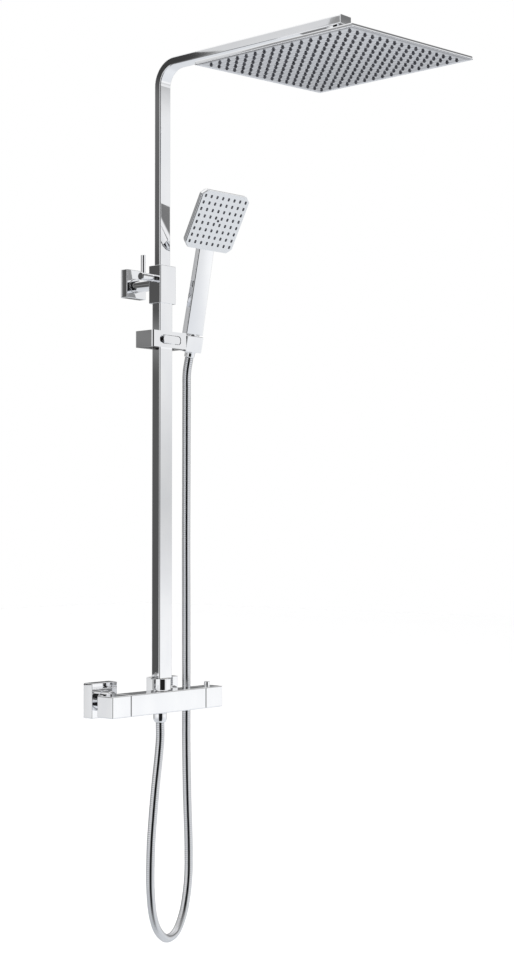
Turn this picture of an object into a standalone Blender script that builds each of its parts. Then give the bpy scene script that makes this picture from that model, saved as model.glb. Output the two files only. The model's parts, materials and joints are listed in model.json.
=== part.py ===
"""Rainfall shower column: a thermostatic bar valve on two wall inlets, a riser with a telescopic
upper tube and arm, a tilting rain head, and a hand shower on a sliding holder.

Units are metres.  Z is up, the wall is the plane Y = 0 and the room is on the -Y side.  The origin
is on the wall, midway between the two inlets, level with the valve's long axis.
"""
import math

import bmesh
import bpy
from mathutils import Matrix, Vector

GAP = 0.0003                 # clearance between pieces that touch

# valve bar
INLET_X = 0.075              # half of the 150 mm inlet spacing
BAR_Y = -0.0825              # long axis of the bar, from the wall
BAR_DEPTH = 0.037
BAR_HEIGHT = 0.0362
BODY_HALF = 0.0908           # half length of the middle part
HANDLE_LENGTH = 0.0424
BAR_FRONT = BAR_Y - BAR_DEPTH / 2
BAR_BACK = BAR_Y + BAR_DEPTH / 2
BAR_TOP = BAR_HEIGHT / 2
CARTRIDGE_BORE = 0.013
OUTLET_X = -0.004            # hose outlet under the bar
BUTTON_X = 0.113             # safety stop on the temperature handle

# wall inlets
COVER_SIDE = 0.059
COVER_DEPTH = 0.0207
WALL_PIPE_Z = 0.0037         # the unions are eccentric: the wall pipes sit a little higher
COVER_WALL = 0.004

# riser
RISER_Y = BAR_Y
RISER_WIDTH, RISER_DEPTH = 0.031, 0.0196
RISER_WALL_X, RISER_WALL_Y = 0.0018, 0.0019
RISER_FOOT_Z = 0.0399
GRUB_Z = 0.046                # screw that locks the tube to its foot plug
RISER_TOP_Z = 0.708
SLIDE_TUBE_WIDTH, SLIDE_TUBE_DEPTH = 0.0258, 0.0142
SLIDE_TUBE_FOOT_Z = 0.400
ARM_Z = 1.0914               # centreline of the arm
BEND_RADIUS = 0.038
ARM_END_Y = -0.4837
TUBE_WALL = 0.0014

# collar, lock and wall bracket
COLLAR_LOW, COLLAR_HIGH = 0.6794, 0.7444
COLLAR_WIDTH, COLLAR_DEPTH = 0.0382, 0.0288
LOCK_Z = 0.722
BRACKET_X, BRACKET_Z = 0.0045, 0.7204
BRACKET_WIDTH, BRACKET_HEIGHT, BRACKET_DEPTH = 0.047, 0.0496, 0.0153
STUB_Z, STUB_RADIUS = 0.7166, 0.0116

# rain head
HEAD_Y = -0.4597
BALL_Z = 1.052
BALL_RADIUS = 0.009
HEAD_SIDE = 0.312
HEAD_TIP = math.radians(-2.97)      # the head hangs slightly out of level, +X edge up
FACE_BOTTOM = -0.0232               # underside of the face, below the ball's centre
CHEEK = 0.004                       # height of the cover's upright edge

# slider, holder and hand shower
SLIDER_Z = 0.617
SLIDER_HEIGHT = 0.028
SLIDER_HALF = 0.041
SLIDER_FRONT, SLIDER_BACK = -0.101, -0.058
HOLDER_Y = -0.0845                  # tilt axis of the holder
HOLDER_TILT = math.radians(11.5)
HOLDER_LEFT, HOLDER_RIGHT = 0.0423, 0.082
HOLDER_HALF_DEPTH = 0.016
SOCKET_X = 0.070
SOCKET_TOP_RADIUS, SOCKET_LOW_RADIUS = 0.0122, 0.0106
HANDSET_SPIN = math.radians(-12)
SPRAY_TILT = math.radians(20.6)     # spray face against the handle
SPRAY_CENTRE = (0.0, -0.026, 0.2134)
SPRAY_WIDTH, SPRAY_HEIGHT, SPRAY_DEPTH = 0.098, 0.106, 0.019

# hose
HOSE_RADIUS = 0.0074
HOSE_NUT_LOW = -0.0350              # underside of the nut on the outlet
HOSE_ROUTE = (
    (-0.0040, -0.0825, -0.0354), (-0.0040, -0.0825, -0.0634), (-0.0082, -0.0828, -0.0970),
    (-0.0155, -0.0835, -0.1404), (-0.0222, -0.0840, -0.1901), (-0.0269, -0.0840, -0.2399),
    (-0.0276, -0.0830, -0.2903), (-0.0248, -0.0815, -0.3245), (-0.0167, -0.0785, -0.3599),
    (-0.0000, -0.0740, -0.3900), (0.0265, -0.0685, -0.4085), (0.0560, -0.0625, -0.4040),
    (0.0779, -0.0580, -0.3791), (0.0906, -0.0550, -0.3470), (0.0975, -0.0530, -0.3135),
    (0.1003, -0.0510, -0.2792), (0.1008, -0.0498, -0.2444), (0.1004, -0.0478, -0.1921),
    (0.1008, -0.0456, -0.1397), (0.1022, -0.0430, -0.0699), (0.1034, -0.0420, 0.0003),
    (0.1022, -0.0428, 0.0974), (0.0986, -0.0460, 0.1858), (0.0940, -0.0500, 0.2741),
    (0.0890, -0.0550, 0.3622), (0.0834, -0.0605, 0.4500), (0.0745, -0.0692, 0.5330),
    (0.0700, -0.07407, 0.56575), (0.0700, -0.07965, 0.59319))
HOSE_STEP = 0.028                   # distance between the tube's own points

CHROME = ("polished_chrome", (0.80, 0.81, 0.83), 0.06, 1.0)
SATIN = ("satin_steel", (0.66, 0.66, 0.69), 0.30, 1.0)
BRASS = ("brass", (0.72, 0.55, 0.28), 0.30, 1.0)
RUBBER = ("black_rubber", (0.03, 0.03, 0.03), 0.70, 0.0)
PLASTIC = ("dark_plastic", (0.10, 0.10, 0.11), 0.45, 0.0)
WHITE_PLASTIC = ("white_plastic", (0.82, 0.82, 0.80), 0.40, 0.0)
STEEL = ("spring_steel", (0.55, 0.55, 0.56), 0.35, 1.0)


# ---------------------------------------------------------------- helpers

def clear_scene():
    for old in list(bpy.data.objects):
        bpy.data.objects.remove(old, do_unlink=True)


def new_collection(name):
    made = bpy.data.collections.new(name)
    bpy.context.scene.collection.children.link(made)
    return made


def material(spec):
    name, colour, roughness, metallic = spec
    found = bpy.data.materials.get(name)
    if found:
        return found
    made = bpy.data.materials.new(name)
    made.use_nodes = True
    shader = made.node_tree.nodes["Principled BSDF"]
    shader.inputs["Base Color"].default_value = (*colour, 1.0)
    shader.inputs["Roughness"].default_value = roughness
    shader.inputs["Metallic"].default_value = metallic
    made.diffuse_color = (*colour, 1.0)
    return made


def add_object(name, mesh, finish, parent=None):
    """Links a mesh as a part; without a finish it becomes a cutter."""
    made = bpy.data.objects.new(name, mesh)
    if finish:
        mesh.materials.append(material(finish))
        PARTS.objects.link(made)
    else:
        made.hide_render = True
        made.display_type = "WIRE"
        CUTTERS.objects.link(made)
    made.parent = parent
    return made


def pivot(name, location, rotation=(0, 0, 0), parent=None):
    """An empty on a joint's axis, which carries the pieces of one moving body."""
    made = bpy.data.objects.new(name, None)
    PARTS.objects.link(made)
    made.location = location
    made.rotation_euler = rotation
    made.parent = parent
    return made


def add_bevel(obj, width, segments=2):
    mod = obj.modifiers.new("edges", "BEVEL")
    mod.width = width
    mod.segments = segments
    mod.limit_method = "ANGLE"


def block(name, low, high, finish=None, parent=None, edge=0.0, segments=2):
    """A box between two corners, its origin at its middle."""
    low, high = Vector(low), Vector(high)
    bm = bmesh.new()
    bmesh.ops.create_cube(bm, size=1.0)
    bmesh.ops.scale(bm, vec=high - low, verts=bm.verts)
    mesh = bpy.data.meshes.new(name)
    bm.to_mesh(mesh)
    bm.free()
    made = add_object(name, mesh, finish, parent)
    made.location = (low + high) / 2
    if edge:
        add_bevel(made, edge, segments)
    return made


def turned(name, outline, place, direction, finish=None, parent=None, steps=24):
    """A closed outline of (radius, distance along the axis), turned about the axis."""
    twice_area = sum(a[0] * b[1] - b[0] * a[1]
                     for a, b in zip(outline, outline[1:] + outline[:1]))
    if twice_area > 0:
        outline = outline[::-1]
    on_axis = [i for i, point in enumerate(outline) if point[0] == 0]
    if on_axis:                       # a solid turning: start at its pole and leave the axis open
        start = on_axis[0] if len(on_axis) > 1 and on_axis[1] - on_axis[0] > 1 else on_axis[-1]
        outline = outline[start:] + outline[:start]
    count = len(outline)
    links = [(i, i + 1) for i in range(count - 1)]
    if not on_axis:
        links.append((count - 1, 0))
    mesh = bpy.data.meshes.new(name)
    mesh.from_pydata([(r, 0.0, along) for r, along in outline], links, [])
    made = add_object(name, mesh, finish, parent)
    screw = made.modifiers.new("turn", "SCREW")
    screw.steps = screw.render_steps = steps
    screw.use_merge_vertices = True
    screw.merge_threshold = 0.000001
    made.location = place
    made.rotation_mode = "QUATERNION"
    made.rotation_quaternion = Vector(direction).to_track_quat("Z", "Y")
    return made


def rod(name, radius, start, end, finish=None, parent=None, steps=20, chamfer=0.0):
    """A round bar or drill between two points."""
    start, end = Vector(start), Vector(end)
    length = (end - start).length
    outline = [(0, 0), (radius - chamfer, 0), (radius, chamfer), (radius, length - chamfer),
               (radius - chamfer, length), (0, length)]
    if not chamfer:
        outline = [(0, 0), (radius, 0), (radius, length), (0, length)]
    return turned(name, outline, start, end - start, finish, parent, steps)


def ring(name, inner, outer, start, end, finish, parent=None, steps=16):
    """A round sleeve between two points."""
    start, end = Vector(start), Vector(end)
    length = (end - start).length
    outline = [(inner, 0), (outer, 0), (outer, length), (inner, length)]
    return turned(name, outline, start, end - start, finish, parent, steps)


def combine(obj, other, operation="DIFFERENCE"):
    mod = obj.modifiers.new(operation.lower(), "BOOLEAN")
    mod.operation = operation
    mod.solver = "EXACT"
    mod.object = other


def rounded_section(width, depth, radius, corner_steps=2):
    """Corner points of a rounded rectangle in the XY plane, anticlockwise."""
    points = []
    for quarter, (sx, sy) in enumerate(((1, 1), (-1, 1), (-1, -1), (1, -1))):
        centre_x = sx * (width / 2 - radius)
        centre_y = sy * (depth / 2 - radius)
        for step in range(corner_steps + 1):
            angle = math.pi / 2 * (quarter + step / corner_steps)
            points.append((centre_x + radius * math.cos(angle), centre_y + radius * math.sin(angle)))
    return points


def section_loop(bm, width, depth, radius, height, corner_steps=2):
    verts = [bm.verts.new((x, y, height)) for x, y in rounded_section(width, depth, radius, corner_steps)]
    return [bm.edges.new((a, b)) for a, b in zip(verts, verts[1:] + verts[:1])]


def only(kind, geometry):
    return [g for g in geometry if isinstance(g, kind)]


def pull(bm, edges, offset):
    """Extrudes a loop of edges by an offset and returns the new loop."""
    grown = bmesh.ops.extrude_edge_only(bm, edges=edges)["geom"]
    bmesh.ops.translate(bm, vec=offset, verts=only(bmesh.types.BMVert, grown))
    return only(bmesh.types.BMEdge, grown)


# ---------------------------------------------------------------- wall inlets

def wall_inlet(side, sign):
    x = sign * INLET_X
    half = COVER_SIDE / 2
    cover = block(f"wall_flange_{side}", (x - half, -COVER_DEPTH, WALL_PIPE_Z - half),
                  (x + half, 0, WALL_PIPE_Z + half), CHROME, edge=0.0008)
    inner = half - COVER_WALL
    combine(cover, block(f"cut_cover_{side}", (x - inner, -COVER_DEPTH + 0.002, WALL_PIPE_Z - inner),
                         (x + inner, 0.002, WALL_PIPE_Z + inner)))
    combine(cover, rod(f"cut_cover_hole_{side}", 0.0160, (x, -0.024, WALL_PIPE_Z),
                       (x, -0.016, WALL_PIPE_Z), steps=24))

    union = turned(f"eccentric_union_{side}",
                   [(0, -0.013), (0.0096, -0.013), (0.0104, -0.012), (0.0104, -0.001),
                    (0.0155, -0.001), (0.0155, 0.0375), (0.0145, 0.0385), (0, 0.0385)],
                   (x, 0, WALL_PIPE_Z), (0, -1, 0), BRASS, steps=24)
    combine(union, turned(f"cut_union_neck_{side}",
                          [(0, 0.036), (0.0115, 0.036), (0.0115, 0.0441), (0.0130, 0.0441),
                           (0.0130, 0.0483), (0, 0.0483)], (x, 0, 0), (0, -1, 0), steps=20), "UNION")
    combine(union, rod(f"cut_union_bore_{side}", 0.007, (x, 0.014, WALL_PIPE_Z / 2),
                       (x, -0.050, WALL_PIPE_Z / 2), steps=12))

    turned(f"union_nut_{side}",
           [(0.0122, 0.0400), (0.0152, 0.0400), (0.0160, 0.0408), (0.0160, 0.0628),
            (0.0152, 0.0636), (0.0137, 0.0636), (0.0137, 0.0437), (0.0122, 0.0437)],
           (x, 0, 0), (0, -1, 0), CHROME)
    ring(f"filter_washer_{side}", 0.008, 0.0130, (x, -0.0486, 0), (x, -0.0517, 0), RUBBER)
    ring(f"check_valve_{side}", 0.0035, 0.0086, (x, -0.053, 0), (x, -0.066, 0), PLASTIC)


# ---------------------------------------------------------------- valve bar

def valve_body():
    body = block("valve_body", (-BODY_HALF, BAR_FRONT, -BAR_TOP), (BODY_HALF, BAR_BACK, BAR_TOP),
                 CHROME, edge=0.0012)
    for side, sign in (("left", -1), ("right", 1)):
        x = sign * INLET_X
        combine(body, rod(f"cut_inlet_stub_{side}", 0.0132, (x, -0.067, 0), (x, -0.052, 0)),
                "UNION")
        combine(body, rod(f"cut_inlet_{side}", 0.009, (x, BAR_Y + 0.0045, 0), (x, -0.050, 0), steps=16))
        combine(body, rod(f"cut_cartridge_{side}", CARTRIDGE_BORE, (sign * 0.036, BAR_Y, 0),
                          (sign * 0.092, BAR_Y, 0)))
    combine(body, rod("cut_gallery", 0.006, (-0.040, BAR_Y, 0), (0.040, BAR_Y, 0), steps=12))
    combine(body, rod("cut_top_port", 0.0093, (0, BAR_Y, 0.0021), (0, BAR_Y, 0.020), steps=20))
    combine(body, rod("cut_hose_port", 0.0093, (OUTLET_X, BAR_Y, -0.0027), (OUTLET_X, BAR_Y, -0.020),
                      steps=20))


def bar_handle(name, sign, parent):
    """A square end cap that turns about the bar's axis, with a hub for its spindle."""
    near, far = sorted((sign * (BODY_HALF + 0.0005), sign * (BODY_HALF + 0.0005 + HANDLE_LENGTH)))
    handle = block(name, (near, -BAR_DEPTH / 2, -BAR_TOP), (far, BAR_DEPTH / 2, BAR_TOP),
                   CHROME, parent, edge=0.0012)
    combine(handle, turned(f"cut_{name}_hollow", [(0.0080, 0), (0.0150, 0), (0.0150, 0.031),
                                                  (0.0080, 0.031)],
                           (sign * 0.090, 0, 0), (sign, 0, 0), parent=parent))
    combine(handle, rod(f"cut_{name}_hub", 0.0051, (sign * 0.090, 0, 0), (sign * 0.112, 0, 0),
                        parent=parent))
    return handle


def diverter():
    turned("diverter_cartridge",
           [(0.0030, 0.042), (0.0126, 0.042), (0.0126, 0.088), (0.0052, 0.088), (0.0052, 0.062),
            (0.0030, 0.062)], (0, BAR_Y, 0), (-1, 0, 0), WHITE_PLASTIC)
    axis = pivot("flow_axis", (0, BAR_Y, 0))
    bar_handle("flow_handle", -1, axis)
    rod("diverter_spindle", 0.0048, (-0.064, 0, 0), (-0.110, 0, 0), BRASS, axis, chamfer=0.0005)


def thermostat():
    turned("thermostatic_cartridge",
           [(0.0085, 0.042), (0.0126, 0.042), (0.0126, 0.088), (0.0052, 0.088), (0.0052, 0.062),
            (0.0085, 0.062)], (0, BAR_Y, 0), (1, 0, 0), BRASS)
    turned("wax_element", [(0, 0.0435), (0.0022, 0.0435), (0.0022, 0.0465), (0.0042, 0.0465),
                           (0.0042, 0.0600), (0, 0.0600)], (0, BAR_Y, 0), (1, 0, 0), BRASS, steps=12)
    coil = [(0.044 + 0.0160 * step / 32, BAR_Y + 0.0064 * math.cos(step * math.pi / 4),
             0.0064 * math.sin(step * math.pi / 4)) for step in range(32)]
    tube("thermostat_spring", coil, 0.0006, STEEL, sides=1)

    axis = pivot("temperature_axis", (0, BAR_Y, 0))
    handle = bar_handle("temperature_handle", 1, axis)
    combine(handle, rod("cut_button_hole", 0.0053, (BUTTON_X, 0, 0.010), (BUTTON_X, 0, 0.020),
                        parent=axis))
    rod("temperature_spindle", 0.0048, (0.064, 0, 0), (0.110, 0, 0), BRASS, axis, chamfer=0.0005)
    turned("temperature_stop_button",
           [(0, 0.0102), (0.0062, 0.0102), (0.0062, 0.0120), (0.0050, 0.0120), (0.0050, 0.0255),
            (0.0045, 0.0262), (0, 0.0262)], (BUTTON_X, 0, 0), (0, 0, 1), CHROME, axis, steps=24)


def outlets():
    turned("riser_foot_nut",
           [(0.0094, 0.0300), (0.0094, 0.0396), (0.0150, 0.0396), (0.0158, 0.0388),
            (0.0158, 0.0193), (0.0150, 0.0185), (0.0122, 0.0185), (0.0122, 0.0300)],
           (0, RISER_Y, 0), (0, 0, 1), CHROME)
    turned("hose_outlet_nipple", [(0.0045, -0.005), (0.0090, -0.005), (0.0090, -0.033),
                                  (0.0045, -0.033)], (OUTLET_X, BAR_Y, 0), (0, 0, 1), BRASS)
    turned("hose_outlet_nut",
           [(0.0094, -0.0185), (0.0108, -0.0185), (0.0115, -0.0192), (0.0115, -0.0320),
            (0.0100, HOSE_NUT_LOW), (0.0055, HOSE_NUT_LOW), (0.0055, -0.0334), (0.0094, -0.0334)],
           (OUTLET_X, BAR_Y, 0), (0, 0, 1), CHROME)


# ---------------------------------------------------------------- riser

def square_sleeve(name, width, depth, cavity_width, cavity_depth, low, high, finish, radius=0.001,
                  parent=None, y=0.0):
    """An upright tube with a rectangular hole, centred on x = 0."""
    sleeve = block(name, (-width / 2, y - depth / 2, low), (width / 2, y + depth / 2, high), finish,
                   parent, edge=radius)
    combine(sleeve, block(f"cut_{name}", (-cavity_width / 2, y - cavity_depth / 2, low - 0.01),
                          (cavity_width / 2, y + cavity_depth / 2, high + 0.01), parent=parent))
    return sleeve


def lower_riser():
    tube_piece = square_sleeve("lower_riser_tube", RISER_WIDTH, RISER_DEPTH,
                               RISER_WIDTH - 2 * RISER_WALL_X, RISER_DEPTH - 2 * RISER_WALL_Y,
                               RISER_FOOT_Z, RISER_TOP_Z, CHROME, y=RISER_Y)
    combine(tube_piece, rod("cut_grub_hole", 0.0026, (-0.018, RISER_Y, GRUB_Z), (-0.012, RISER_Y, GRUB_Z)))
    plug = block("riser_foot_plug", (-0.0134, RISER_Y - 0.0076, RISER_FOOT_Z + GAP),
                 (0.0134, RISER_Y + 0.0076, 0.058), BRASS)
    combine(plug, turned("cut_plug_tail",
                         [(0, 0.005), (0.0090, 0.005), (0.0090, 0.0395), (0.0073, 0.0395),
                          (0.0073, 0.0450), (0, 0.0450)],
                         (0, RISER_Y, 0), (0, 0, 1), steps=20), "UNION")
    combine(plug, rod("cut_plug_bore", 0.0050, (0, RISER_Y, 0.004), (0, RISER_Y, 0.060)))
    combine(plug, rod("cut_plug_grub", 0.0025, (-0.015, RISER_Y, GRUB_Z), (-0.0075, RISER_Y, GRUB_Z)))
    rod("riser_grub_screw", 0.0022, (-0.0153, RISER_Y, GRUB_Z), (-0.0078, RISER_Y, GRUB_Z), STEEL,
        steps=16, chamfer=0.0003)


def slide_tube():
    """Telescopic tube, swept up the riser, round the bend and out along the arm."""
    bm = bmesh.new()
    loop = section_loop(bm, SLIDE_TUBE_WIDTH, SLIDE_TUBE_DEPTH, 0.0014, SLIDE_TUBE_FOOT_Z)
    bmesh.ops.translate(bm, vec=(0, RISER_Y, 0), verts=bm.verts)
    bend_z = ARM_Z - BEND_RADIUS
    loop = pull(bm, loop, (0, 0, bend_z - SLIDE_TUBE_FOOT_Z))
    spun = bmesh.ops.spin(bm, geom=loop, cent=(0, RISER_Y - BEND_RADIUS, bend_z), axis=(1, 0, 0),
                          angle=math.pi / 2, steps=9, use_duplicate=False)["geom_last"]
    loop = only(bmesh.types.BMEdge, spun)
    straight = RISER_Y - BEND_RADIUS - (ARM_END_Y + 0.0023)
    pull(bm, loop, (0, -straight, 0))
    bmesh.ops.recalc_face_normals(bm, faces=bm.faces)
    mesh = bpy.data.meshes.new("upper_riser_arm")
    bm.to_mesh(mesh)
    bm.free()
    arm = add_object("upper_riser_arm", mesh, CHROME)
    shell = arm.modifiers.new("wall", "SOLIDIFY")
    shell.thickness = TUBE_WALL
    shell.offset = -1.0
    combine(arm, rod("cut_arm_outlet", 0.0070, (0, HEAD_Y, ARM_Z - 0.0090), (0, HEAD_Y, ARM_Z - 0.002)))


def arm_fittings():
    cap = block("arm_end_cap", (-SLIDE_TUBE_WIDTH / 2, ARM_END_Y, ARM_Z - SLIDE_TUBE_DEPTH / 2),
                (SLIDE_TUBE_WIDTH / 2, ARM_END_Y + 0.0020, ARM_Z + SLIDE_TUBE_DEPTH / 2), CHROME,
                edge=0.0005)
    combine(cap, block("cut_cap_plug", (-0.0110, ARM_END_Y + 0.001, ARM_Z - 0.0052),
                       (0.0110, ARM_END_Y + 0.0085, ARM_Z + 0.0052)), "UNION")
    seal = block("telescopic_seal", (-0.0132, RISER_Y - 0.0074, 0.386), (0.0132, RISER_Y + 0.0074, 0.3996),
                 RUBBER)
    combine(seal, rod("cut_seal_bore", 0.0045, (0, RISER_Y, 0.380), (0, RISER_Y, 0.402)))


def collar():
    body = block("riser_collar", (-COLLAR_WIDTH / 2, RISER_Y - COLLAR_DEPTH / 2, COLLAR_LOW),
                 (COLLAR_WIDTH / 2, RISER_Y + COLLAR_DEPTH / 2, COLLAR_HIGH), CHROME, edge=0.0012)
    combine(body, block("cut_collar_cavity", (-0.0158, RISER_Y - 0.0101, COLLAR_LOW - 0.01),
                        (0.0158, RISER_Y + 0.0101, 0.7400)))
    combine(body, block("cut_collar_top", (-0.0133, RISER_Y - 0.0075, 0.73),
                        (0.0133, RISER_Y + 0.0075, COLLAR_HIGH + 0.01)))
    combine(body, rod("cut_collar_lock", 0.0045, (-0.022, RISER_Y, LOCK_Z), (-0.014, RISER_Y, LOCK_Z)))
    bush = square_sleeve("riser_guide_bush", RISER_WIDTH, RISER_DEPTH, 0.0264, 0.0148,
                         RISER_TOP_Z + GAP, 0.7397, WHITE_PLASTIC, radius=0.0008, y=RISER_Y)
    combine(bush, rod("cut_bush_lock", 0.0050, (-0.018, RISER_Y, LOCK_Z), (-0.012, RISER_Y, LOCK_Z)))
    rod("lock_pad", 0.0044, (-0.0151, RISER_Y, LOCK_Z), (-0.0133, RISER_Y, LOCK_Z), WHITE_PLASTIC,
        steps=20)


def lock_lever():
    axis = pivot("lock_axis", (0, RISER_Y, LOCK_Z))
    turned("lock_spindle",
           [(0, 0.0156), (0.0041, 0.0156), (0.0041, 0.0195), (0.0057, 0.0195), (0.0057, 0.0293),
            (0.0041, 0.0293), (0.0041, 0.0395), (0, 0.0395)],
           (0, 0, 0), (-1, 0, 0), CHROME, axis, steps=16)
    knob = turned("lock_knob",
                  [(0.0045, 0.0297), (0.0066, 0.0297), (0.0070, 0.0301), (0.0070, 0.0522),
                   (0.0062, 0.0530), (0, 0.0530), (0, 0.0402), (0.0045, 0.0402)],
                  (0, 0, 0), (-1, 0, 0), CHROME, axis, steps=20)
    combine(knob, rod("cut_knob_lever", 0.0044, (-0.0465, 0, 0.002), (-0.0465, 0, 0.012), parent=axis))
    rod("lock_lever_pin", 0.0041, (-0.0465, 0, 0.0023), (-0.0465, 0, 0.0366), CHROME, axis, steps=16,
        chamfer=0.0006)


def wall_bracket():
    x_low, x_high = BRACKET_X - BRACKET_WIDTH / 2, BRACKET_X + BRACKET_WIDTH / 2
    z_low, z_high = BRACKET_Z - BRACKET_HEIGHT / 2, BRACKET_Z + BRACKET_HEIGHT / 2
    cover = block("bracket_flange", (x_low, -BRACKET_DEPTH, z_low), (x_high, 0, z_high), CHROME,
                  edge=0.0008)
    combine(cover, block("cut_bracket", (x_low + COVER_WALL, -BRACKET_DEPTH + 0.002, z_low + COVER_WALL),
                         (x_high - COVER_WALL, 0.002, z_high - COVER_WALL)))
    combine(cover, rod("cut_bracket_hole", STUB_RADIUS + GAP, (0, -0.018, STUB_Z), (0, -0.010, STUB_Z),
                       steps=24))
    rod("bracket_stub", STUB_RADIUS, (0, -0.0054, STUB_Z), (0, RISER_Y + COLLAR_DEPTH / 2 + GAP, STUB_Z),
        CHROME, steps=24)
    plate = block("bracket_anchor_plate", (-0.0140, -0.0050, 0.7000), (0.0240, 0, 0.7408), STEEL)
    for side, x, z in (("upper", 0.0, 0.7355), ("lower", 0.0190, 0.7048)):
        combine(plate, rod(f"cut_anchor_{side}", 0.0026, (x, -0.006, z), (x, 0.002, z)))
        turned(f"anchor_screw_{side}",
               [(0, -0.020), (0.0010, -0.020), (0.0022, -0.016), (0.0022, 0.0053), (0.0042, 0.0053),
                (0.0038, 0.0080), (0, 0.0080)], (x, 0, z), (0, -1, 0), STEEL, steps=12)


# ---------------------------------------------------------------- rain head

def on_ball(radius, degrees):
    """A point of a ball's outline, measured from straight up."""
    angle = math.radians(degrees)
    return (radius * math.sin(angle), radius * math.cos(angle))


def ball_joint():
    centre = (0, HEAD_Y, BALL_Z)
    socket = [on_ball(0.0104, degrees) for degrees in (20, 37, 54, 71, 88)]
    seat = [(0.0035, 0.0350), (0.0066, 0.0350), (0.0066, 0.0320), (0.0120, 0.0320), (0.0120, 0.0120),
            (0.0110, 0.0120), (0.0110, socket[-1][1])]
    turned("swivel_seat", seat + socket[::-1], centre, (0, 0, 1), CHROME)
    lip = [on_ball(0.0104, degrees) for degrees in (96, 113, 129.7)]
    turned("swivel_nut",
           [(0.0113, 0.0105), (0.0129, 0.0105), (0.0136, 0.0098), (0.0136, -0.0062), (0.0129, -0.0069),
            (0.0084, -0.0069)] + lip[::-1] + [(0.0113, lip[0][1])], centre, (0, 0, 1), CHROME)
    liner_angles = (26, 45, 64, 83)
    turned("swivel_liner", [on_ball(0.0100, a) for a in liner_angles]
           + [on_ball(0.0094, a) for a in liner_angles[::-1]], (0, 0, 0), (0, 0, 1), WHITE_PLASTIC,
           pivot("head_tilt_axis", centre))


def rain_head():
    axis = pivot("head_ball", (0, HEAD_Y, BALL_Z), (0, HEAD_TIP, 0))
    half = HEAD_SIDE / 2
    ball = [on_ball(BALL_RADIUS, degrees) for degrees in (18, 36, 54, 72, 90, 108, 126, 142)]
    turned("head_ball_stem",
           [(0.0025, ball[0][1])] + ball + [(0.0054, -0.0142), (0.0140, -0.0142), (0.0140, -0.0164),
                                            (0.0025, -0.0164)], (0, 0, 0), (0, 0, 1), BRASS, axis)
    rim_z = FACE_BOTTOM + 0.0018
    bm = bmesh.new()
    bmesh.ops.create_cube(bm, size=1.0)
    bmesh.ops.scale(bm, vec=(HEAD_SIDE, HEAD_SIDE, CHEEK), verts=bm.verts)
    bmesh.ops.translate(bm, vec=(0, 0, rim_z + CHEEK / 2), verts=bm.verts)
    top = [f for f in bm.faces if f.normal.z > 0.5]
    bmesh.ops.inset_individual(bm, faces=top, thickness=half - 0.030, depth=0.0047)
    bmesh.ops.delete(bm, geom=[f for f in bm.faces if f.normal.z < -0.5], context="FACES")
    mesh = bpy.data.meshes.new("head_top_cover")
    bm.to_mesh(mesh)
    bm.free()
    cover = add_object("head_top_cover", mesh, CHROME, axis)
    wall = cover.modifiers.new("wall", "SOLIDIFY")
    wall.thickness = 0.0012
    wall.offset = -1.0
    combine(cover, rod("cut_cover_centre", 0.0058, (0, 0, -0.018), (0, 0, -0.008), parent=axis))
    block("head_nozzle_mat", (-half + 0.006, -half + 0.006, FACE_BOTTOM + 0.0018),
          (half - 0.006, half - 0.006, FACE_BOTTOM + 0.0036), RUBBER, axis)
    block("head_face_plate", (-half, -half, FACE_BOTTOM), (half, half, FACE_BOTTOM + 0.0015), SATIN,
          axis, edge=0.0004, segments=1)


# ---------------------------------------------------------------- slider and holder

def slider():
    low, high = SLIDER_Z - SLIDER_HEIGHT / 2, SLIDER_Z + SLIDER_HEIGHT / 2
    carrier = pivot("slider_carriage", (0, 0, 0))
    body = block("slider_body", (-SLIDER_HALF, SLIDER_FRONT, low), (SLIDER_HALF, SLIDER_BACK, high),
                 CHROME, carrier, edge=0.0018, segments=3)
    combine(body, block("cut_slider_way", (-0.0183, RISER_Y - 0.0126, low - 0.01),
                        (0.0183, RISER_Y + 0.0126, high + 0.01), parent=carrier))
    combine(body, block("cut_thumb_pocket", (-0.0215, SLIDER_FRONT - 0.002, SLIDER_Z - 0.0077),
                        (0.0272, -0.0963, SLIDER_Z + 0.0077), parent=carrier))
    combine(body, rod("cut_thumb_pin", 0.0015, (0.0215, -0.0988, SLIDER_Z - 0.0115),
                      (0.0215, -0.0988, SLIDER_Z + 0.0115), parent=carrier, steps=16))
    combine(body, rod("cut_slider_pivot", 0.0043, (0.024, HOLDER_Y, SLIDER_Z),
                      (0.043, HOLDER_Y, SLIDER_Z), parent=carrier))
    square_sleeve("slider_bush", 0.0360, 0.0246, RISER_WIDTH + 2 * GAP, RISER_DEPTH + 2 * GAP,
                  low + 0.0005, high - 0.0005, WHITE_PLASTIC, radius=0.0005, parent=carrier, y=RISER_Y)
    rod("thumb_lever_pin", 0.0012, (0.0215, -0.0988, SLIDER_Z - 0.0112),
        (0.0215, -0.0988, SLIDER_Z + 0.0112), STEEL, carrier, steps=12)
    block("thumb_leaf_spring", (-0.016, -0.0970, SLIDER_Z - 0.003), (-0.004, -0.0966, SLIDER_Z + 0.003),
          STEEL, carrier)
    rod("holder_pivot_pin", 0.0040, (0.0255, HOLDER_Y, SLIDER_Z), (0.0530, HOLDER_Y, SLIDER_Z), STEEL,
        carrier, steps=20, chamfer=0.0004)
    thumb_lever(carrier)
    return carrier


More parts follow.
